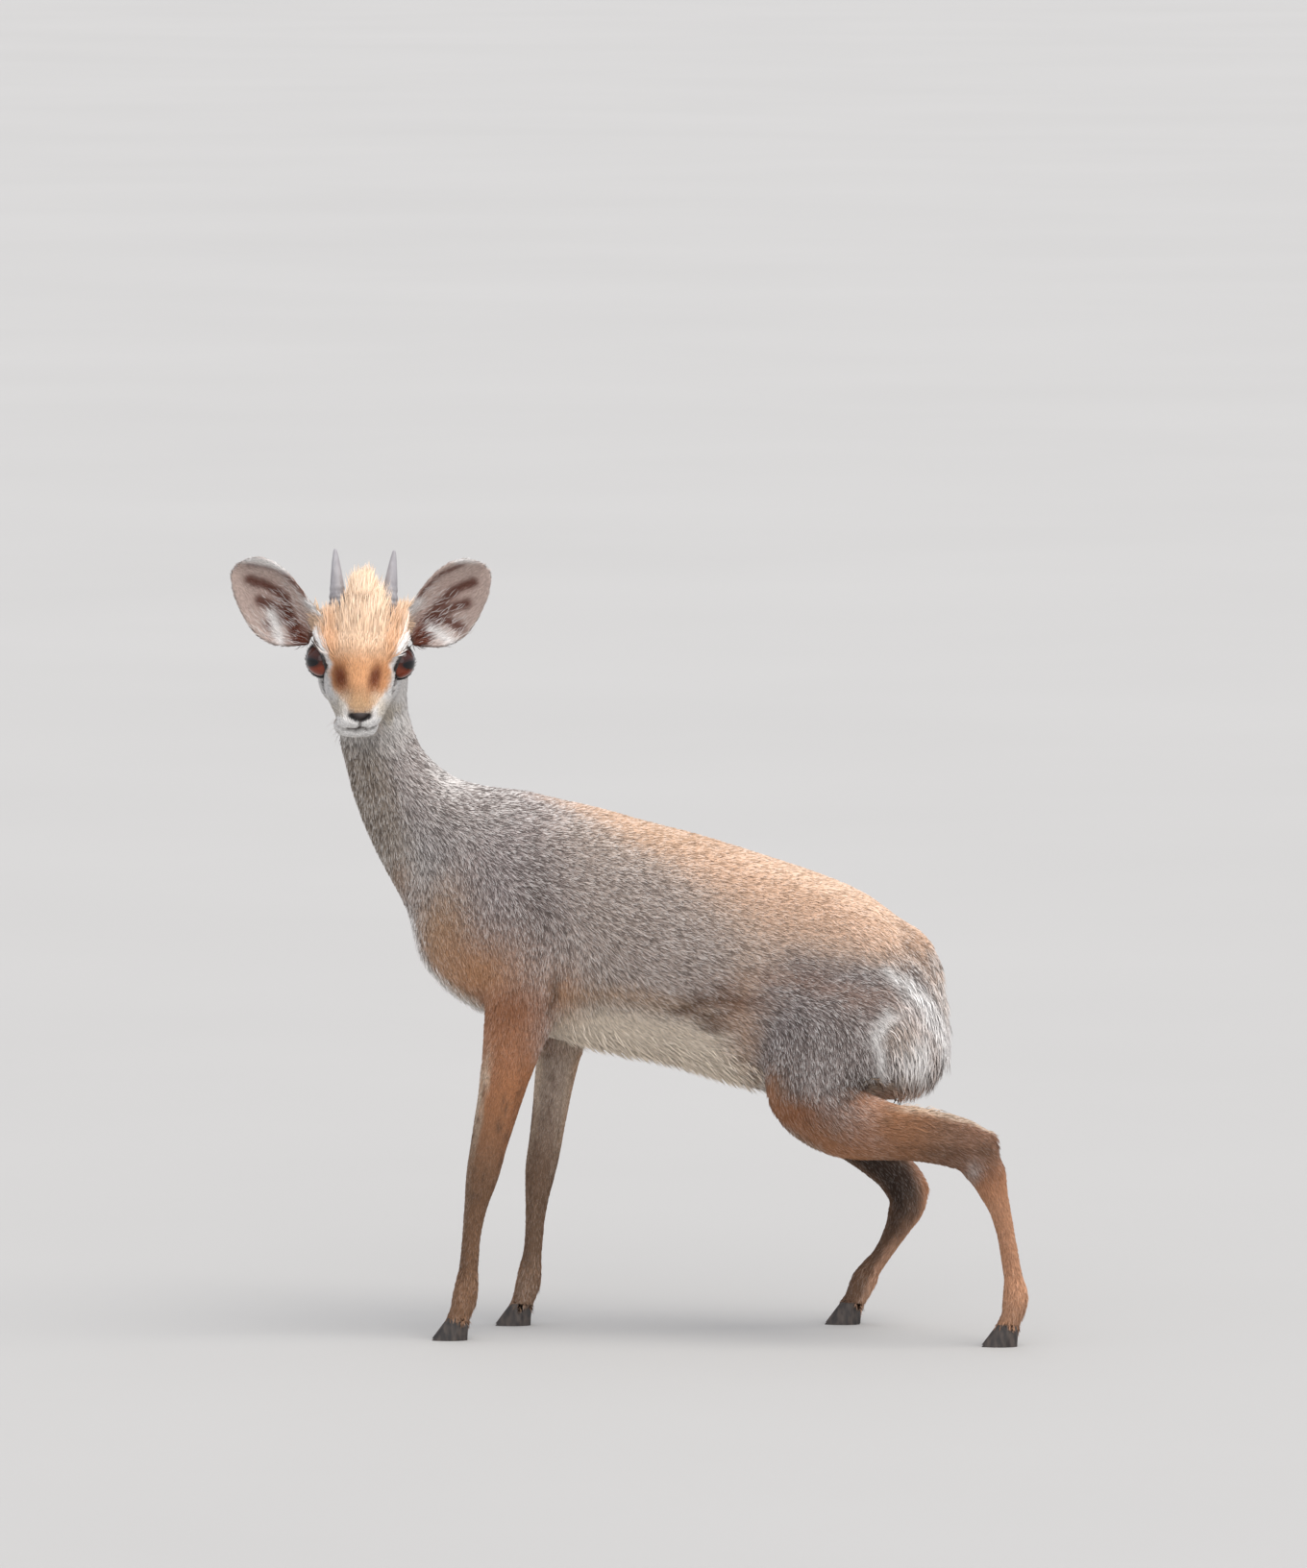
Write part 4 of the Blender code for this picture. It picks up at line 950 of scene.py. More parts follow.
bare = np.max([
    np.exp(-((lineDistance["gland"] / 3.1) ** 6)), np.exp(-((lineDistance["nostril"] / 2.2) ** 6)), middlePad,
    lidMargin, 0.7 * np.exp(-((lineDistance["mouth"] / 0.9) ** 4)),
], axis=0)
streaky = wobble(np.stack([ahead * 0.35, local[:, 1], upward * 0.35], axis=1), 4.5, 31)
colour[:] = colour * (1 + (0.10 * streaky * onHead * (1 - bare) + 0.05 * wobble(points, 13, 32)))[:, None]
vivid = (colour[:, 0] - colour[:, 2]) / colour[:, 0]
grizzle = np.clip(1.15 - 1.35 * vivid, 0.15, 0.9) * (1 - 0.75 * smoothStep(colour[:, 1], 0.45, 0.75))
grizzle = grizzle * (1 - 0.45 * onHead) * (1 - 0.65 * isEar - 0.3 * earInside) * (1 - 0.35 * isLeg) + 0.05 * mottle
grizzle = np.clip(grizzle, 0.08, 0.9)
print("markings laid")

# Materials: a socket that can be reckoned with, and the finishes made with it


class Signal:
    # A shader's output socket. Arithmetic on it adds Math nodes.
    def __init__(self, finish, socket):
        self.finish = finish
        self.socket = socket

    def math(self, operation, *others):
        return self.finish.add("ShaderNodeMath", {"operation": operation}, self, *others)

    def __add__(self, other):
        return self.math("ADD", other)

    def __sub__(self, other):
        return self.math("SUBTRACT", other)

    def __rsub__(self, other):
        return self.finish.add("ShaderNodeMath", {"operation": "SUBTRACT"}, other, self)

    def __mul__(self, other):
        return self.math("MULTIPLY", other)

    def __truediv__(self, other):
        return self.math("DIVIDE", other)

    def __pow__(self, other):
        return self.math("POWER", other)

    __radd__ = __add__
    __rmul__ = __mul__

    def step(self, low, high):
        # Zero below low and one above high, smooth between.
        settings = {"interpolation_type": "SMOOTHSTEP"}
        return self.finish.add("ShaderNodeMapRange", settings, self, low, high)


class Finish:
    # A material with a Principled shader, and one way of adding a node to it.
    def __init__(self, name, **constants):
        self.material = bpy.data.materials.new(name)
        self.material.use_nodes = True
        self.tree = self.material.node_tree
        self.shader = self.tree.nodes["Principled BSDF"]
        for key, value in constants.items():
            self.shader.inputs[key.replace("_", " ")].default_value = value

    def join(self, value, target):
        if isinstance(value, Signal):
            self.tree.links.new(value.socket, target)
        elif target.type == "RGBA":
            target.default_value = (*value, 1.0)
        else:
            target.default_value = value

    def add(self, kind, settings, *values, output=0, **named):
        # Adds a node, sets its settings, and joins values to its inputs in order, or by name.
        node = self.tree.nodes.new(kind)
        for key, value in settings.items():
            setattr(node, key, value)
        for value, target in zip(values, node.inputs):
            self.join(value, target)
        for key, value in named.items():
            self.join(value, node.inputs[key])
        return Signal(self, node.outputs[output])

    def attribute(self, name, output="Fac"):
        return self.add("ShaderNodeAttribute", {"attribute_name": name}, output=output)

    def noise(self, size, detail=3.0, stretch=(1, 1, 1)):
        # Noise with features of about size millimetres, and longer along an axis whose stretch is below one.
        place = self.add("ShaderNodeTexCoord", {}, output="Object")
        scaled = self.add("ShaderNodeVectorMath", {"operation": "MULTIPLY"}, place, stretch)
        return self.add("ShaderNodeTexNoise", {}, Vector=scaled, Scale=1000.0 / size, Detail=detail)

    def blend(self, factor, first, second, mode="MIX"):
        node = self.tree.nodes.new("ShaderNodeMix")
        node.data_type = "RGBA"
        node.blend_type = mode
        for value, target in zip((factor, first, second), (node.inputs[0], node.inputs[6], node.inputs[7])):
            self.join(value, target)
        return Signal(self, node.outputs[2])

    def scaled(self, colour, amount):
        node = self.tree.nodes.new("ShaderNodeVectorMath")
        node.operation = "SCALE"
        self.join(colour, node.inputs[0])
        self.join(amount, node.inputs["Scale"])
        return Signal(self, node.outputs[0])

    def bump(self, height, strength, distance):
        made = self.add("ShaderNodeBump", {}, Strength=strength, Distance=distance * mm, Height=height)
        self.join(made, self.shader.inputs["Normal"])

    def set(self, **signals):
        for key, value in signals.items():
            self.join(value, self.shader.inputs[key.replace("_", " ")])
        return self.material


def furFinish(name, rootShade, tipShade, cream):
    # Each tuft is darker at its root and lighter at its tip, painted shade down in the coat and painted light on the
    # tips, and some tufts have a pale or a dark tip where the coat is grizzled.
    fur = Finish(name, Roughness=0.78)
    fur.shader.inputs["Specular IOR Level"].default_value = 0.25
    along, chance, grizzle = (fur.attribute(key) for key in ("along", "chance", "grizzle"))
    shade = rootShade + (tipShade - rootShade) * along + (chance - 0.5) * (grizzle * 0.6 + 0.24)
    coat = fur.scaled(fur.attribute("coat", "Color"), shade)
    paleTip = chance.step(0.62, 0.70) * along.step(0.35, 0.9) * grizzle
    coat = fur.blend(paleTip * 0.85, coat, cream)
    darkBand = (1 - chance.step(0.30, 0.38)) * along.step(0.1, 0.4) * grizzle
    coat = fur.blend(darkBand * 0.55, coat, tuple(tones["dark"]))
    return fur.set(Base_Color=coat)


def skinFinish():
    # Under the coat the skin has the coat's colour darkened, painted shade where it shows between the tufts, and bare
    # places are dark, fine-grained leather.
    made = Finish("skinFinish")
    made.shader.inputs["Specular IOR Level"].default_value = 0.3
    bareHere = made.attribute("bare")
    fine = made.noise(1.2, 4.0)
    shade = 0.66 + 0.34 * bareHere + (fine - 0.5) * 0.35
    made.bump(fine, 0.5, 0.25)
    return made.set(Base_Color=made.scaled(made.attribute("coat", "Color"), shade), Roughness=0.82 - 0.4 * bareHere)


def hornFinish():
    # Grey horn with rings near its base and streaks along it, worn pale towards the tip.
    made = Finish("hornFinish")
    along = made.attribute("along")
    streak = made.noise(2.5, 4.0, (1, 1, 0.25))
    ring = (along * 95).math("SINE") * (1 - along.step(0.2, 0.5))
    tint = made.blend(along.step(0.0, 0.8), tuple(tone(108, 103, 104)), tuple(tone(156, 152, 155)))
    tint = made.blend(streak.step(0.35, 0.7) * 0.5, tint, tuple(tone(182, 179, 181)))
    made.bump(ring * 0.5 + streak, 0.6, 0.3)
    return made.set(Base_Color=made.scaled(tint, 0.95 + ring * 0.2), Roughness=0.38 + streak * 0.2)


def hoofFinish():
    made = Finish("hoofFinish")
    streak = made.noise(3.0, 4.0, (1, 1, 0.3))
    growth = made.noise(2.2, 2.0, (0.15, 0.15, 1))
    tint = made.blend(streak.step(0.3, 0.75), tuple(tone(36, 31, 29)), tuple(tone(78, 68, 62)))
    made.bump(growth + streak * 0.5, 0.4, 0.2)
    return made.set(Base_Color=tint, Roughness=0.42 + streak * 0.25)


def eyeFinish():
    # A dark eye: red-brown iris with fine spokes and painted shade over its upper part, a long level pupil, and a
    # near-black rim and outer ball.
    made = Finish("eyeFinish", Roughness=0.04)
    made.shader.inputs["Coat Weight"].default_value = 0.3
    made.shader.inputs["Specular IOR Level"].default_value = 0.35
    made.shader.inputs["Coat Roughness"].default_value = 0.02
    made.shader.inputs["IOR"].default_value = 1.38
    polar, level, height = (made.attribute(key) for key in ("polar", "level", "height"))
    spokes = made.noise(0.9, 2.0)
    oval = ((level / 0.60) ** 2.0 + ((height - 0.06) / 0.24) ** 2.0) ** 0.5
    tint = made.blend(oval.step(0.9, 1.9), tuple(tone(66, 24, 13)), tuple(tone(120, 50, 27)))
    tint = made.scaled(tint, 0.7 + spokes * 0.6)
    # painted shade over the upper part of the iris, under the upper lid
    tint = made.blend(height.step(-0.10, 0.30) * 0.8, tint, tuple(tone(30, 22, 22)))
    tint = made.blend(1 - oval.step(0.88, 1.06), tint, tuple(tone(9, 9, 13)))
    tint = made.blend(polar.step(0.80, 0.98), tint, tuple(tone(17, 12, 11)))
    return made.set(Base_Color=tint)


def floorFinish():
    made = Finish("floorFinish", Roughness=0.9)
    grain = made.noise(900.0, 4.0)
    return made.set(Base_Color=made.blend(grain, tuple(tone(176, 174, 171)), tuple(tone(183, 181, 178))))


def lidFinish():
    made = Finish("lidFinish")
    fine = made.noise(0.8, 3.0)
    made.bump(fine, 0.4, 0.1)
    return made.set(
        Base_Color=made.blend(fine, tuple(tone(20, 17, 17)), tuple(tone(46, 38, 36))), Roughness=0.32 + fine * 0.2
    )


finishes = {
    "short": furFinish("shortFur", 0.74, 1.14, tuple(tones["white"])),
    "long": furFinish("longFur", 0.84, 1.24, tuple(tones["white"])),
    "crest": furFinish("crestFur", 0.98, 1.22, tuple(tones["white"])),
    "skin": skinFinish(), "horn": hornFinish(), "hoof": hoofFinish(), "eye": eyeFinish(), "lid": lidFinish(),
    "floor": floorFinish(),
}
print("materials made")

# Skin piece

skin = makePiece("skin", points, [triangles], finishes["skin"])
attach(skin, "root")
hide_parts(*fleshNodes)
setAttribute(skin, "coat", "FLOAT_COLOR", np.column_stack([colour, np.ones(len(colour))]))
setAttribute(skin, "bare", "FLOAT", np.clip(bare, 0, 1))
print("skin made")

# Coat: short tufts all over and long locks where the hair is long, each a small closed solid

fields = {key: coatField(key) for key in ("length", "width", "lift", "number")}
fields["length"] = fields["length"] * (1 - 0.42 * noseward) * (1 + 0.12 * mottle)
fields["width"] = fields["width"] * (1 - 0.15 * noseward)
fields["lift"] = fields["lift"] * (1 - 0.5 * noseward)
fields["number"] = fields["number"] * (1 + 0.35 * noseward) * np.where(bare > 0.35, 0, 1)
tailTop = onParts("tail") * smoothStep(z, 246, 268)
for key in ("length", "lift"):
    fields[key] = fields[key] * (1 - 0.5 * spread(tailTop, edges, 8))
fields["flow"] = combedFlow(points, normals)
nearHoof = isLeg * smoothStep(limbAlong, 0.88, 0.93)
drooping = fields["flow"] - nearHoof[:, None] * (0, 0, 2.0)
fields["flow"] = unit(drooping - normals * (drooping * normals).sum(axis=1, keepdims=True))
notUnder = smoothStep(normals[:, 2], -0.75, -0.35)
fields["number"] = fields["number"] * (1 - nearHoof * (1 - notUnder))
fields["normal"] = softNormals
fields["colour"] = colour
fields["grizzle"] = grizzle
corners = points[triangles]
areas = np.linalg.norm(np.cross(corners[:, 1] - corners[:, 0], corners[:, 2] - corners[:, 0]), axis=1) / 2


def scatter(weight, chosen, seed):
    # Roots spread over the triangles, as many to each square millimetre as weight says at its corners.
    draw = np.random.default_rng(seed)
    expected = np.cumsum(areas * weight[triangles].mean(axis=1) * chosen)
    count = int(expected[-1])
    where = np.searchsorted(expected, (np.arange(count) + draw.random(count)) * expected[-1] / count)
    where = np.minimum(where, len(triangles) - 1)
    one, two = draw.random((2, count))
    flip = one + two > 1
    one, two = np.where(flip, 1 - one, one), np.where(flip, 1 - two, two)
    shares = np.stack([1 - one - two, one, two], axis=1)
    roots = {"place": np.einsum("nk,nkj->nj", shares, points[triangles[where]])}
    for key, values in fields.items():
        atCorners = values[triangles[where]]
        roots[key] = np.einsum("nk,nk...->n...", shares, atCorners)
    roots["normal"] = unit(roots["normal"])
    flow = roots["flow"] - roots["normal"] * (roots["flow"] * roots["normal"]).sum(axis=1, keepdims=True)
    roots["flow"] = unit(flow)
    roots["draw"] = draw.random((count, 5))
    return roots


def turned(roots, amount):
    # Each root's lie, turned a little about its normal, and the direction across it.
    angle = (roots["draw"][:, 0] - 0.5) * 2 * amount
    flow, normal = roots["flow"], roots["normal"]
    side = np.cross(normal, flow)
    flow = flow * np.cos(angle)[:, None] + side * np.sin(angle)[:, None]
    return flow, np.cross(normal, flow)


def shortLocks(roots, jitter=0.30):
    # A tetrahedron laid along the coat: two corners sunk at the root, a ridge a third along, and the tip.
    flow, side = turned(roots, jitter)
    draw, normal, place = roots["draw"], roots["normal"], roots["place"]
    length = (roots["length"] * (0.70 + 0.6 * draw[:, 1]))[:, None]
    width = (roots["width"] * (0.75 + 0.5 * draw[:, 2]))[:, None]
    lift = (roots["lift"] * (0.55 + 0.75 * draw[:, 3]))[:, None]
    left = place - side * width / 2 - normal * 0.25
    right = place + side * width / 2 - normal * 0.25
    ridge = place + flow * length * 0.36 + normal * (0.55 * lift + 0.30 * width)
    tip = place + flow * length + normal * lift
    made = np.stack([left, right, ridge, tip], axis=1)
    lit = np.stack([normal - 0.45 * side, normal + 0.45 * side, normal, normal + 0.3 * flow], axis=1)
    faces = np.array([(0, 1, 3), (0, 2, 1), (1, 2, 3), (0, 3, 2)])
    return made, unit(lit), faces, np.array([0.0, 0.0, 0.42, 1.0])


def longLocks(roots, jitter=0.35, droop=0.0, curl=0.0):
    # A three-sided lock: a ring at the root, a ring halfway along its bend, and the tip, which droops.
    flow, side = turned(roots, jitter)
    draw, normal, place = roots["draw"], roots["normal"], roots["place"]
    length = (roots["length"] * (0.65 + 0.7 * draw[:, 1]))[:, None]
    width = (roots["width"] * (0.7 + 0.6 * draw[:, 2]))[:, None]
    lift = (roots["lift"] * (0.6 + 0.8 * draw[:, 3]))[:, None]
    down = np.array([0, 0, -1.0])
    bent = side * (curl * (draw[:, 4:5] - 0.5)) * length
    start = place - normal * 0.4
    middle = place + flow * length * 0.48 + normal * lift * 0.72 + down * droop * length * 0.12 + bent * 0.5
    tip = place + flow * length * 0.96 + normal * lift + down * droop * length * 0.5 - bent * 0.3
    ring0 = [start - side * width / 2, start + side * width / 2, start + normal * width * 0.5]
    ring1 = [middle - side * width * 0.42, middle + side * width * 0.42, middle + normal * width * 0.4]
    made = np.stack([*ring0, *ring1, tip], axis=1)
    facing = roots.get("facing", normal)
    lit = [facing - 0.5 * side, facing + 0.5 * side, facing] * 2 + [facing + 0.3 * flow]
    faces = np.array([
        (0, 2, 1), (0, 1, 4), (0, 4, 3), (1, 2, 5), (1, 5, 4), (0, 5, 2), (0, 3, 5), (3, 4, 6), (4, 5, 6), (3, 6, 5),
    ])
    return made, unit(np.stack(lit, axis=1)), faces, np.array([0, 0, 0.05, 0.5, 0.5, 0.5, 1.0])


def cylinderPlace(path):
    # Unwraps a part about its middle line: the angle round it, and how far along it.
    path = np.asarray(path, float)

    def unwrap(roots):
        _, along, offset = nearestOnPath(roots["place"], path)
        axis = unit(path[-1] - path[0])
        first = unit(np.cross(axis, (0.3, 1.0, 0.2)))
        second = np.cross(axis, first)
        return np.stack([np.arctan2(offset @ second, offset @ first) / (2 * np.pi) + 0.5, along], axis=1)

    return unwrap


def earPlace(word):
    # Unwraps an ear: its inside on the left half and its outside on the right.
    def unwrap(roots):
        s, w, _ = inEar(roots["place"], word)
        facing = roots["normal"] @ (earFrames[word]["facing"] @ skullAxes)
        return np.stack([np.clip((w + 34) / 68, 0, 1) * 0.48 + np.where(facing > 0, 0, 0.52), (s + 12) / 96], axis=1)

    return unwrap


pieceCounts = {}


def coatPiece(name, kinds, unwrap, slot, finish):
    # One mesh from several sets of locks, with each lock's colour and its patch of the unwrapped skin.
    place, lit, faceSets, along, chance, grizzled, tint, patchUv = [], [], [], [], [], [], [], []
    start = 0
    for roots, (made, normal, faces, steps) in kinds:
        count, each = made.shape[:2]
        place.append(made.reshape(-1, 3))
        lit.append(normal.reshape(-1, 3))
        faceSets.append((faces[None] + (start + np.arange(count) * each)[:, None, None]).reshape(-1, 3))
        start += count * each
        along.append(np.tile(steps, count))
        chance.append(np.repeat(roots["draw"][:, 4], each))
        grizzled.append(np.repeat(roots["grizzle"], each))
        tint.append(np.repeat(roots["colour"], each, axis=0))
        middle = np.clip(unwrap(roots), 0, 1) * 0.98 + 0.01
        angle = np.arange(each) * 2 * np.pi / each
        around = 0.0015 * np.stack([np.cos(angle), np.sin(angle)], axis=1)
        patchUv.append((middle[:, None] + around[None]).reshape(-1, 2))
    faces = np.concatenate(faceSets)
    piece = makePiece(name, np.concatenate(place), [faces], finish, slot)
    setAttribute(piece, "along", "FLOAT", np.concatenate(along))
    setAttribute(piece, "chance", "FLOAT", np.concatenate(chance))
    setAttribute(piece, "grizzle", "FLOAT", np.concatenate(grizzled))
    tint = np.concatenate(tint)
    setAttribute(piece, "coat", "FLOAT_COLOR", np.column_stack([tint, np.ones(len(tint))]))
    uv = piece.data.uv_layers.new(name="OFBake")
    uv.data.foreach_set("uv", np.concatenate(patchUv)[faces.ravel()].astype(np.float32).ravel())
    piece.data.normals_split_custom_set_from_vertices(unit(np.concatenate(lit)))
    pieceCounts[name] = len(faces)


def adjusted(roots, **changes):
    changed = dict(roots)
    for key, value in changes.items():
        changed[key] = roots[key] * value if np.isscalar(value) else value
    return changed


middleX = drawn[triangles, 0].mean(axis=1)
trianglePart = part[triangles[:, 0]]


def ofPart(*starts):
    return np.isin(trianglePart, [k for k, name in enumerate(partNames) if name.startswith(starts)])


trunkLine = fromDrawing(trunkPath)
neckLine = fromDrawing(neckPath)
coatPlan = [  # name, triangles, unwrap, slot
    ("coat_shoulders", ofPart("trunk") & (middleX < -42), cylinderPlace(trunkLine), "rufous_coat"),
    ("coat_flanks", ofPart("trunk") & (middleX >= -42) & (middleX < 46), cylinderPlace(trunkLine), "rufous_coat"),
    ("coat_rump", ofPart("trunk") & (middleX >= 46), cylinderPlace(trunkLine), "rufous_coat"),
    ("coat_neck", ofPart("neck"), cylinderPlace(neckLine), "grey_coat"),
    ("coat_thigh_left", ofPart("hindleg_left_thigh"), cylinderPlace(fromDrawing(limbPaths["hindleg_left"][:4])),
     "grey_coat"),
    ("coat_thigh_right", ofPart("hindleg_right_thigh"), cylinderPlace(fromDrawing(limbPaths["hindleg_right"][:4])),
     "grey_coat"),
    ("coat_foreleg_left", ofPart("foreleg_left"), cylinderPlace(fromDrawing(limbPaths["foreleg_left"])), "leg_coat"),
    ("coat_foreleg_right", ofPart("foreleg_right"), cylinderPlace(fromDrawing(limbPaths["foreleg_right"])),
     "leg_coat"),
    ("coat_hindleg_left", ofPart("hindleg_left_shank", "hindleg_left_cannon"),
     cylinderPlace(fromDrawing(limbPaths["hindleg_left"])), "leg_coat"),
    ("coat_hindleg_right", ofPart("hindleg_right_shank", "hindleg_right_cannon"),
     cylinderPlace(fromDrawing(limbPaths["hindleg_right"])), "leg_coat"),
    ("coat_tail", ofPart("tail"), cylinderPlace(fromDrawing(tailPath)), "rufous_coat"),
    ("coat_head", ofPart("head"), cylinderPlace(fromHead(headPath)), "rufous_coat"),
    ("coat_ear_left", ofPart("ear_left"), earPlace("left"), "grey_coat"),
    ("coat_ear_right", ofPart("ear_right"), earPlace("right"), "grey_coat"),
]
quickShare = 1.0
for k, (name, chosen, unwrap, slot) in enumerate(coatPlan):
    roots = scatter(fields["number"] * quickShare, chosen, 20 + k)
    limit = 49500
    if len(roots["place"]) > limit:
        print(name, "thinned from", len(roots["place"]))
        roots = scatter(fields["number"] * limit / len(roots["place"]), chosen, 20 + k)
    coatPiece(name, [(roots, shortLocks(roots))], unwrap, slot, finishes["short"])
print("short coat made:", sum(pieceCounts.values()), "triangles")

# Long hair: crest, brow and ear tufts, chest line, belly fringe, buttock, tail, lashes and whiskers

isUnder = smoothStep(-normals[:, 2], 0.35, 0.8)
crestNear = np.exp(-(((ahead + 10) / 12) ** 2) - ((local[:, 1] - 2.5) / 11) ** 4)
crestSpot = crestNear * smoothStep(upward, 21, 25) * ~onParts("neck")
earS = {word: inEar(points, word) for word in ("left", "right")}
earEdge = np.zeros(len(points))
earBase = np.zeros(len(points))
for word, (s, w, f) in earS.items():
    on = onParts("ear_" + word)
    rimNear = np.abs(normals @ (earFrames[word]["facing"] @ skullAxes))
    earEdge = np.maximum(earEdge, on * (1 - smoothStep(rimNear, 0.15, 0.45)) * smoothStep(s, 4, 14))
    earBase = np.maximum(earBase, (on | isHead) * np.exp(-((s / 7) ** 2) - (w / 15) ** 4 - (f / 9) ** 2))
earLow = 1 - smoothStep(np.where(local[:, 1] > 0, earS["left"][0], earS["right"][0]), 26, 44)
farFromMiddle = np.abs(y + math.tan(math.radians(7)) * x)
longPlan = [  # name, group, weight at each point, number a square mm, length, width, lift, droop, tone
    ("forehead", "crest", isHead * smoothStep(face, 3, 12) * smoothStep(upward, 12, 18) * frontal, 1.15, 6.0, 0.85, 1.9,
     0.0, None),
    ("sides of the crown", "crest", isHead * smoothStep(across, 15, 21) * smoothStep(upward, 9, 15)
     * smoothStep(ahead, -34, -26), 1.35, 8.0, 0.9, 3.2, 0.0, None),
    ("ear base", "fringe", earBase, 0.9, 8.0, 0.7, 2.0, 0.0, None),
    ("ear edge", "fringe", earEdge, 1.3, 3.2, 0.4, 0.5, 0.0, "greyWhite"),
    ("inside of the ear", "fringe", earInside * earLow, 0.14, 7.0, 0.5, 1.5, 0.0,
     "greyWhite"),
    ("chest", "body", np.exp(-((chestLine / 8) ** 2)) * ~isHead, 0.45, 7.5, 0.8, 2.4, 0.3, "white"),
    ("belly", "body", isUnder * band(x, -46, 84, 6) * onParts("trunk"), 0.13, 9.0, 1.0, 3.2, 0.5, "cream"),
    ("groin", "body", isUnder * patch(76, 203, 16, 14) * onTrunk, 0.4, 12.0, 1.0, 3.0, 0.5, "cream"),
    ("buttock", "body", patch(195, 205, 20, 38, 1.6) * ~isHead * smoothStep(x, 162, 172), 0.28, 11.0, 1.05, 3.8, 0.4, None),
    ("tail", "body", onParts("tail") * (1 - smoothStep(z, 244, 262)), 0.8, 10.0, 0.9, 3.0, 0.3, None),
    ("rump", "body", onTrunk * smoothStep(x, 120, 170) * (1 - smoothStep(below, 30, 50)), 0.10, 9.5, 0.8, 2.2, 0.2,
     None),
    ("nape", "body", onNeck * smoothStep(fromNeck[:, 0], 6, 18) * band(z, 380, 450, 10), 0.24, 7.0, 0.8, 2.4, 0.1, None),
    ("heels", "body", isLeg * band(limbAlong, 0.86, 0.94, 0.02) * notUnder, 0.6, 5.5, 0.7, 1.0, 0.4, None),
    ("coronets", "body", nearHoof * notUnder, 1.5, 4.6, 0.75, 0.4, 0.2, None),
]


def longRoots(weight, number, length, width, lift, toneName, seed):
    roots = scatter(np.clip(weight, 0, 1) * number * quickShare, np.ones(len(triangles)), seed)
    count = len(roots["place"])
    mixed = roots["colour"] if toneName is None else 0.35 * roots["colour"] + 0.65 * tones[toneName]
    whole = np.ones(count)
    return adjusted(roots, colour=mixed, length=length * whole, width=width * whole, lift=lift * whole)


longKinds = {"crest": [], "fringe": [], "body": []}
for k, (name, group, weight, number, length, width, lift, droop, toneName) in enumerate(longPlan):
    roots = longRoots(np.asarray(weight, float), number, length, width, lift, toneName, 60 + k)
    longKinds[group].append((roots, longLocks(roots, 0.35, droop, 0.25)))
    print("long hair:", name, len(roots["place"]))


def handRooted(places, directions, normalsHere, length, width, lift, colourHere, seed, bunch=0.0):
    # Locks whose roots and directions are given, as for the crest, the brows, the lashes and the whiskers.
    draw = np.random.default_rng(seed)
    count = len(places)
    flow = unit(directions + bunch * draw.normal(size=(count, 3)))
    across_ = normalsHere - flow * (normalsHere * flow).sum(axis=1, keepdims=True)
    whole = np.ones(count)
    return {
        "place": places, "flow": flow, "normal": unit(across_), "colour": colourHere, "length": length * whole,
        "width": width * whole, "lift": lift * whole, "grizzle": 0.2 * whole, "draw": draw.random((count, 5)),
    }


crestShape = {
    "middle": 3.5,  # the crest stands this far to the animal's left
    "aside": (0, 3, 7.3, 9.8, 11.7, 13.3, 15, 18, 22, 26, 29, 32),
    "peak": (64.5, 63.5, 60, 56, 48.5, 44, 41, 40, 39, 36, 31, 25),  # how high up the face its tips reach
    "tint": 0.10,
}
fromCrest = np.abs(local[:, 1] - crestShape["middle"])
fluffSpot = isHead * smoothStep(faceHeight, 12, 18) * np.exp(-(((ahead + 10) / 11) ** 2)) * frontal
crestPlan = [  # weight, number of locks, longest, width, lean back, share of the crest's own tone
    (crestSpot, 2100, 20.0, 1.2, -0.40, 1.0),
    (fluffSpot * band(fromCrest, 10, 25, 2.5), 1600, 17.0, 1.0, -0.72, 0.3),
    (fluffSpot * (1 - smoothStep(fromCrest, 9, 14)), 600, 13.0, 1.05, -0.55, 0.3),
]
for k, (spot, number, longest, width, lean, share) in enumerate(crestPlan):
    whole = (areas * spot[triangles].mean(axis=1)).sum()
    crestRoots = scatter(spot * number / whole * quickShare, np.ones(len(triangles)), 90 + k)
    rootHead = toHead(crestRoots["place"])
    rise = 0.799 * rootHead[:, 2] - 0.602 * rootHead[:, 0]
    beside = rootHead[:, 1] - crestShape["middle"]
    peak = np.interp(np.abs(beside), crestShape["aside"], crestShape["peak"]) + 5 * (crestRoots["draw"][:, 3] - 0.6)
    pointing = np.stack([lean - 0.01 * (rootHead[:, 0] + 14), 0.008 * beside, np.full(len(rise), 1.0)], axis=1)
    crestLength = np.clip((peak - rise) * 0.95, 5, longest)
    crestTint = tones["crest"] + (tones["white"] - tones["crest"]) * (crestShape["tint"] * crestRoots["draw"][:, 2:3])
    ownShare = (share * (0.3 + 0.7 * smoothStep(rise, 18, 34)))[:, None]
    crestTint = crestTint * ownShare + crestRoots["colour"] * (1 - ownShare)
    crestLocks = handRooted(
        crestRoots["place"], pointing @ skullAxes, crestRoots["normal"], crestLength, width, 0.6, crestTint, 91 + k, 0.10
    )
    crestLocks["facing"] = unit(crestLocks["normal"] + np.array([0.5, 0, 1.1]) @ skullAxes)
    longKinds["crest"].append((crestLocks, longLocks(crestLocks, 0.12, 0.0, 0.15)))

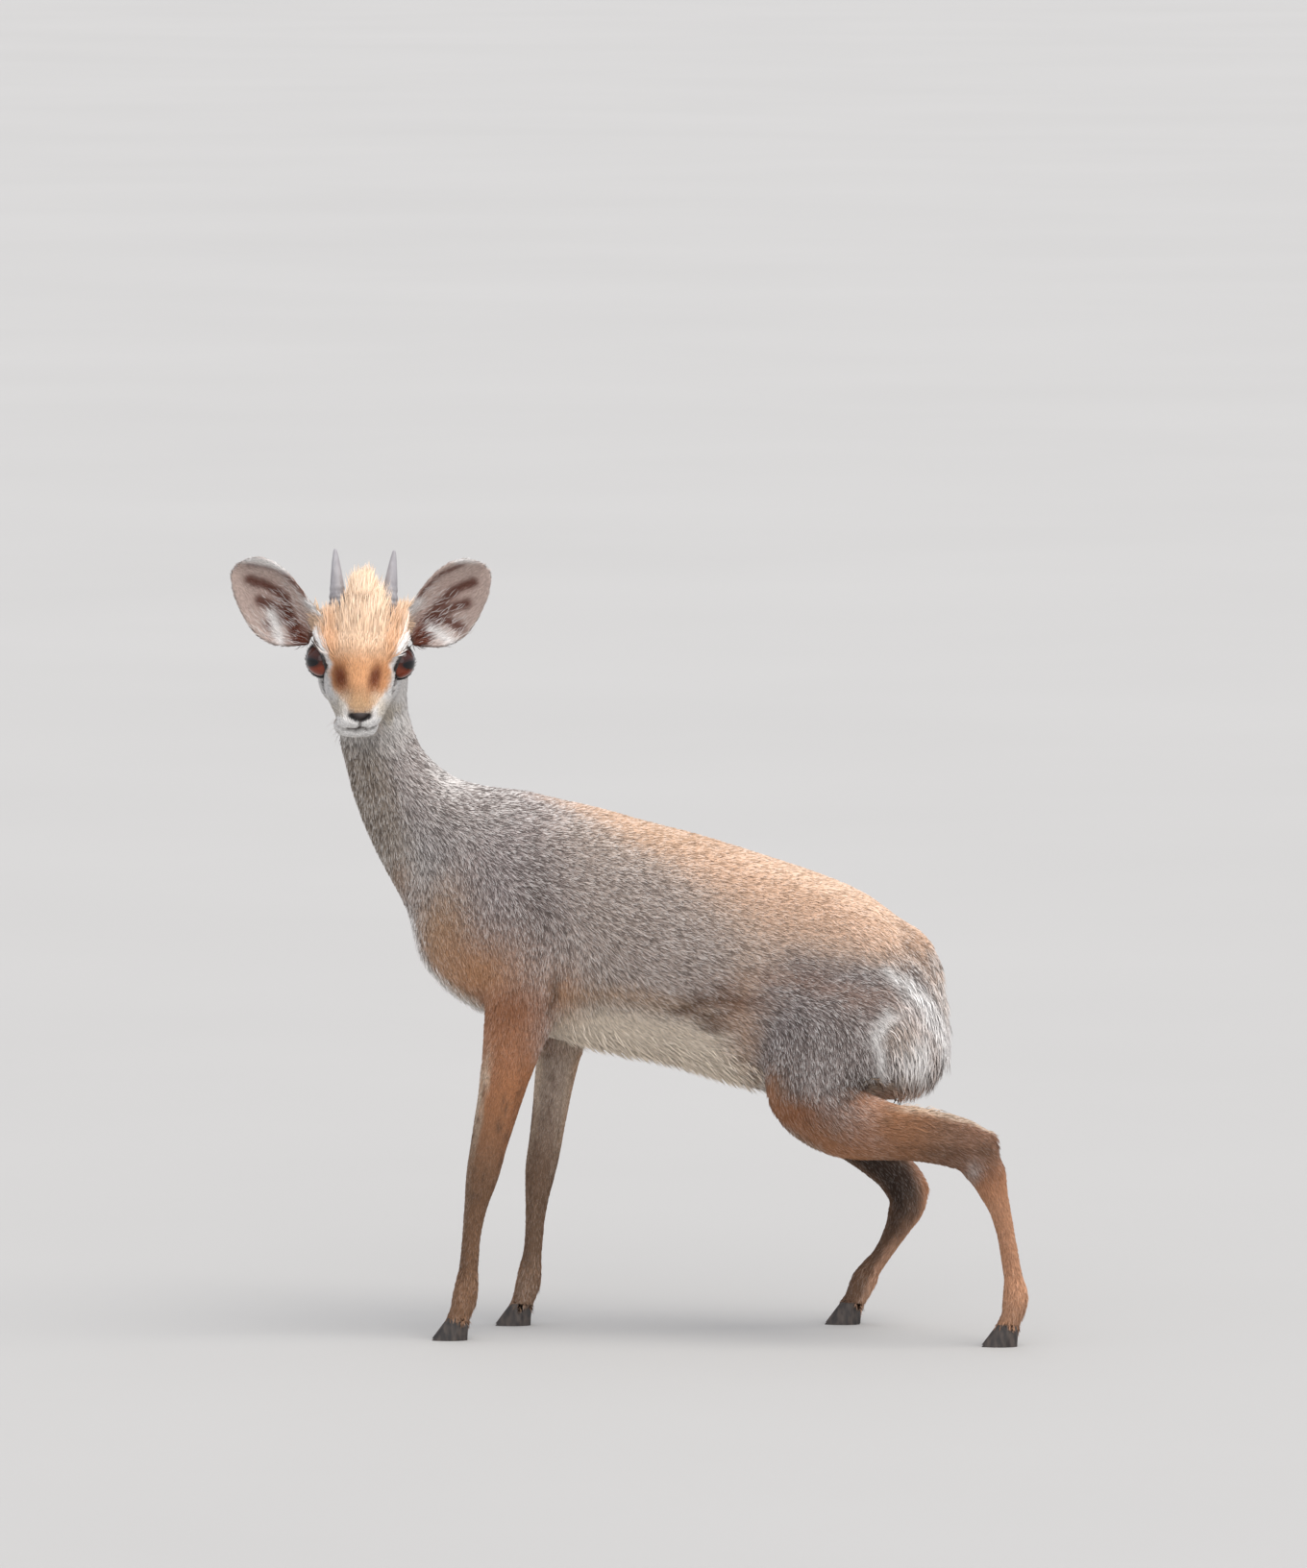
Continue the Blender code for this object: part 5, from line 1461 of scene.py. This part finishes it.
browShape = {"number": 150, "spot": (-22.0, 22.5, 24.0), "size": (3.5, 3.2, 3.0), "length": 10.0}
for hand, word in ((1, "left"), (-1, "right")):
    draw = np.random.default_rng(95 + hand)
    spots = np.array(browShape["spot"]) * (1, hand, 1) + (0, 2.5, 0) + draw.normal(size=(browShape["number"], 3)) * browShape["size"]
    place = fromHead(spots)
    nearest = np.array([np.argmin(((points - p) ** 2).sum(axis=1)) for p in place])
    pointing = np.tile(np.array([-0.3, 0.12 * hand, 1.0]) @ skullAxes, (len(nearest), 1))
    tint = 0.4 * tones["forehead"] + 0.6 * tones["crest"] + np.zeros((len(nearest), 3))
    locks = handRooted(points[nearest], pointing, normals[nearest], browShape["length"], 0.9, 1.0, tint, 97 + hand, 0.18)
    locks["facing"] = unit(locks["normal"] + np.array([1.0, 0, 1.2]) @ skullAxes)
    longKinds["crest"].append((locks, longLocks(locks, 0.25, 0.0, 0.2)))

lashShape = {"number": 34, "length": 4.2, "width": 0.32}
for word in ("left", "right"):
    centre, gaze, long, short = eyeFrame(word)
    around = np.linspace(0.12 * np.pi, 0.92 * np.pi, lashShape["number"])
    edge = openingAngle(around) * 1.02
    outward = np.cos(around)[:, None] * long + np.sin(around)[:, None] * short
    way = np.cos(edge)[:, None] * gaze + np.sin(edge)[:, None] * outward
    tint = np.tile(tones["dark"], (len(around), 1))
    locks = handRooted(
        centre + way * 12.4, 0.9 * way + 0.45 * outward + (0, 0, -0.25), outward, lashShape["length"],
        lashShape["width"], 0.8, tint, 99, 0.06,
    )
    longKinds["crest"].append((locks, longLocks(locks, 0.1, 0.2, 0.1)))

whiskerShape = {"number": 12, "length": 8.0, "width": 0.16}
for hand in (1, -1):
    draw = np.random.default_rng(103 + hand)
    spots = np.stack([
        draw.uniform(46, 60, whiskerShape["number"]), hand * draw.uniform(9, 14, whiskerShape["number"]),
        draw.uniform(-21, -9, whiskerShape["number"]),
    ], axis=1)
    nearest = np.array([np.argmin(((points - p) ** 2).sum(axis=1)) for p in fromHead(spots)])
    pointing = normals[nearest] * 0.8 + np.array([0.3, 0.3 * hand, -0.5]) @ skullAxes
    tint = np.tile(tones["brown"], (len(nearest), 1))
    locks = handRooted(
        points[nearest], pointing, normals[nearest], whiskerShape["length"], whiskerShape["width"], 0.5, tint, 105, 0.1
    )
    longKinds["crest"].append((locks, longLocks(locks, 0.2, 0.6, 0.3)))

coatPiece("coat_crest", longKinds["crest"], cylinderPlace(fromHead(headPath)), "rufous_coat", finishes["crest"])
coatPiece("coat_ear_fringe", longKinds["fringe"], cylinderPlace(fromHead(headPath)), "grey_coat", finishes["long"])
coatPiece("coat_fringe", longKinds["body"], cylinderPlace(trunkLine), "rufous_coat", finishes["long"])
print("long coat made:", sum(pieceCounts[n] for n in ("coat_crest", "coat_ear_fringe", "coat_fringe")), "triangles")

# Eyes, lids, horns and hooves


def crossTube(name, path, radius, sides, finish, slot):
    # A closed ring of tube: a circle of the given radius carried along a closed path.
    path = np.asarray(path, float)
    ahead = unit(np.roll(path, -1, axis=0) - np.roll(path, 1, axis=0))
    outward = unit(path - path.mean(axis=0))
    outward = unit(outward - ahead * (outward * ahead).sum(axis=1, keepdims=True))
    third = np.cross(ahead, outward)
    angle = np.arange(sides) * 2 * np.pi / sides
    ring = outward[:, None] * np.cos(angle)[None, :, None] + third[:, None] * np.sin(angle)[None, :, None]
    surface = path[:, None] + ring * np.asarray(radius)[:, None, None]
    faces = gridFaces(len(path) + 1, sides) % (len(path) * sides)
    return makePiece(name, surface.reshape(-1, 3), [faces], finish, slot)


def makeEye(word):
    # A ball whose rows go out from the gaze, raised over the cornea; its lids' rim follows the opening.
    centre, gaze, long, short = eyeFrame(word)
    hand = 1 if word == "left" else -1
    rows, columns = 56, 72
    polar = np.linspace(0.01, np.pi - 0.01, rows)
    azimuth = np.arange(columns) * 2 * np.pi / columns
    p, q = np.meshgrid(polar, azimuth, indexing="ij")
    way = np.cos(p)[..., None] * gaze
    way = way + np.sin(p)[..., None] * (np.cos(q)[..., None] * long + np.sin(q)[..., None] * short)
    radius = eyeShape["radius"] + 0.45 * np.exp(-((p / 0.75) ** 4))
    surface = (centre + way * radius[..., None]).reshape(-1, 3)
    caps = [np.arange(columns)[None, :], (rows - 1) * columns + np.arange(columns)[::-1][None, :]]
    faces = [gridFaces(rows, columns)[:, ::-1], *caps]
    if np.dot(np.cross(long, short), gaze) < 0:
        faces = [f[:, ::-1] for f in faces]
    piece = makePiece("eyeball_" + word, surface, faces, finishes["eye"], "eye")
    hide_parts("eye_" + word)
    levelAxis = unit(np.cross(gaze, np.array([0, 0, 1.0]))) * hand
    upAxis = unit(np.array([0, 0, 1.0]) - gaze * gaze[2])
    flat = way.reshape(-1, 3)
    facing = np.clip(flat @ gaze, -1, 1)
    setAttribute(piece, "polar", "FLOAT", np.arccos(facing) / math.radians(66))
    setAttribute(piece, "level", "FLOAT", np.where(facing > 0, flat @ levelAxis, 1.0))
    setAttribute(piece, "height", "FLOAT", np.where(facing > 0, flat @ upAxis, 1.0))
    around = np.arange(96) * 2 * np.pi / 96
    edge = openingAngle(around) * 1.0
    rim = np.cos(edge)[:, None] * gaze
    rim = rim + np.sin(edge)[:, None] * (np.cos(around)[:, None] * long + np.sin(around)[:, None] * short)
    upper = smoothStep(np.sin(around), -0.2, 0.7)
    crossTube("lid_" + word, centre + rim * 12.0, 0.62 + 0.42 * upper, 10, finishes["lid"], "eye")


for word in ("left", "right"):
    makeEye(word)

hornShape = {
    "root": (-13.0, 16.0, 22.0),
    "tip": (-47.5, 20.0, 58.5),
    "aside": 0.9,
    "bow": 3.0,
    "rings": 9,
}


def makeHorn(word):
    # A taper carried along a bowed line, with rings near its base that fade out halfway up.
    hand = 1 if word == "left" else -1
    root = np.array(hornShape["root"]) * (1, hand, 1) + (0, hornShape["aside"], 0)
    tip = np.array(hornShape["tip"]) * (1, hand, 1) + (0, hornShape["aside"], 0)
    along = unit(tip - root)
    sideways = unit(np.array([0, 1.0, 0]) - along * along[1])
    front = np.cross(along, sideways)
    rows, columns = 90, 36
    s = np.linspace(-0.12, 1, rows)
    angle = np.arange(columns) * 2 * np.pi / columns
    taper = 6.7 * (1 - np.clip(s, 0, 1)) ** 0.72 + 0.7 * (1 - smoothStep(s, 0.985, 1.0))
    ringed = 0.28 * np.sin(s * hornShape["rings"] * 2 * np.pi) * (1 - smoothStep(s, 0.3, 0.62)) * smoothStep(s, -0.02, 0.06)
    centre = root + (tip - root) * s[:, None] + front * (hornShape["bow"] * 3 / 3 * s * (1 - s))[:, None]
    radius = (taper + ringed)[:, None] * (1 + 0.02 * np.sin(5 * angle))[None]
    local = centre[:, None] + radius[..., None] * (
        np.cos(angle)[None, :, None] * sideways + np.sin(angle)[None, :, None] * front
    )
    caps = [np.arange(columns)[::-1][None, :], (rows - 1) * columns + np.arange(columns)[None, :]]
    faces = [gridFaces(rows, columns), *caps]
    piece = makePiece("hornSheath_" + word, fromHead(local.reshape(-1, 3)), faces, finishes["horn"], "horn")
    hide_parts("horn_" + word)
    setAttribute(piece, "along", "FLOAT", np.repeat(np.clip(s, 0, 1), columns))


for word in ("left", "right"):
    makeHorn(word)

for name, node in nodes.items():
    if "hoof" in name:
        node.data.materials.clear()
        node.data.materials.append(finishes["hoof"])
print("eyes, horns and hooves made")

# Camera, floor and light

cameraPlace = {"target": (13.0, 0.0, 374.5), "elevation": 5.0, "distance": 9000.0, "frameHeight": 1060.8}


def makeCamera(target, elevation, distance, frameHeight):
    made = bpy.data.objects.new("camera", bpy.data.cameras.new("camera"))
    bpy.context.scene.collection.objects.link(made)
    e = math.radians(elevation)
    back = Vector((0, -math.cos(e), math.sin(e)))
    made.location = Vector((np.array(target) + moved * (1, 1, 0)) * mm) + back * distance * mm
    made.rotation_euler = (-back).to_track_quat("-Z", "Y").to_euler()
    made.data.sensor_width = 36
    made.data.lens = 36 * distance / frameHeight
    made.data.clip_end = 500
    bpy.context.scene.camera = made


makeCamera(**cameraPlace)

world = bpy.data.worlds.new("studio")
bpy.context.scene.world = world
world.use_nodes = True
world.node_tree.nodes["Background"].inputs[0].default_value = (0.9, 0.93, 1.0, 1)
world.node_tree.nodes["Background"].inputs[1].default_value = 0.92
bpy.context.scene.view_settings.view_transform = "Standard"


def addSun(name, energy, softness, towards, colour):
    lamp = bpy.data.lights.new(name, "SUN")
    lamp.energy = energy
    lamp.angle = math.radians(softness)
    lamp.color = colour
    made = bpy.data.objects.new(name, lamp)
    made.rotation_euler = Vector(towards).to_track_quat("-Z", "Y").to_euler()
    bpy.context.scene.collection.objects.link(made)


addSun("overhead", 1.95, 45, (-0.45, 0.3, -1.0), (1.0, 0.97, 0.93))
addSun("front", 1.0, 60, (-0.1, 1.0, -0.4), (1.0, 0.98, 0.96))

floorCorners = np.array([(-1, -1, 0), (1, -1, 0), (1, 1, 0), (-1, 1, 0)]) * 2e5
floor = makePiece("floor", floorCorners, [np.array([[0, 1, 2, 3]])], finishes["floor"])
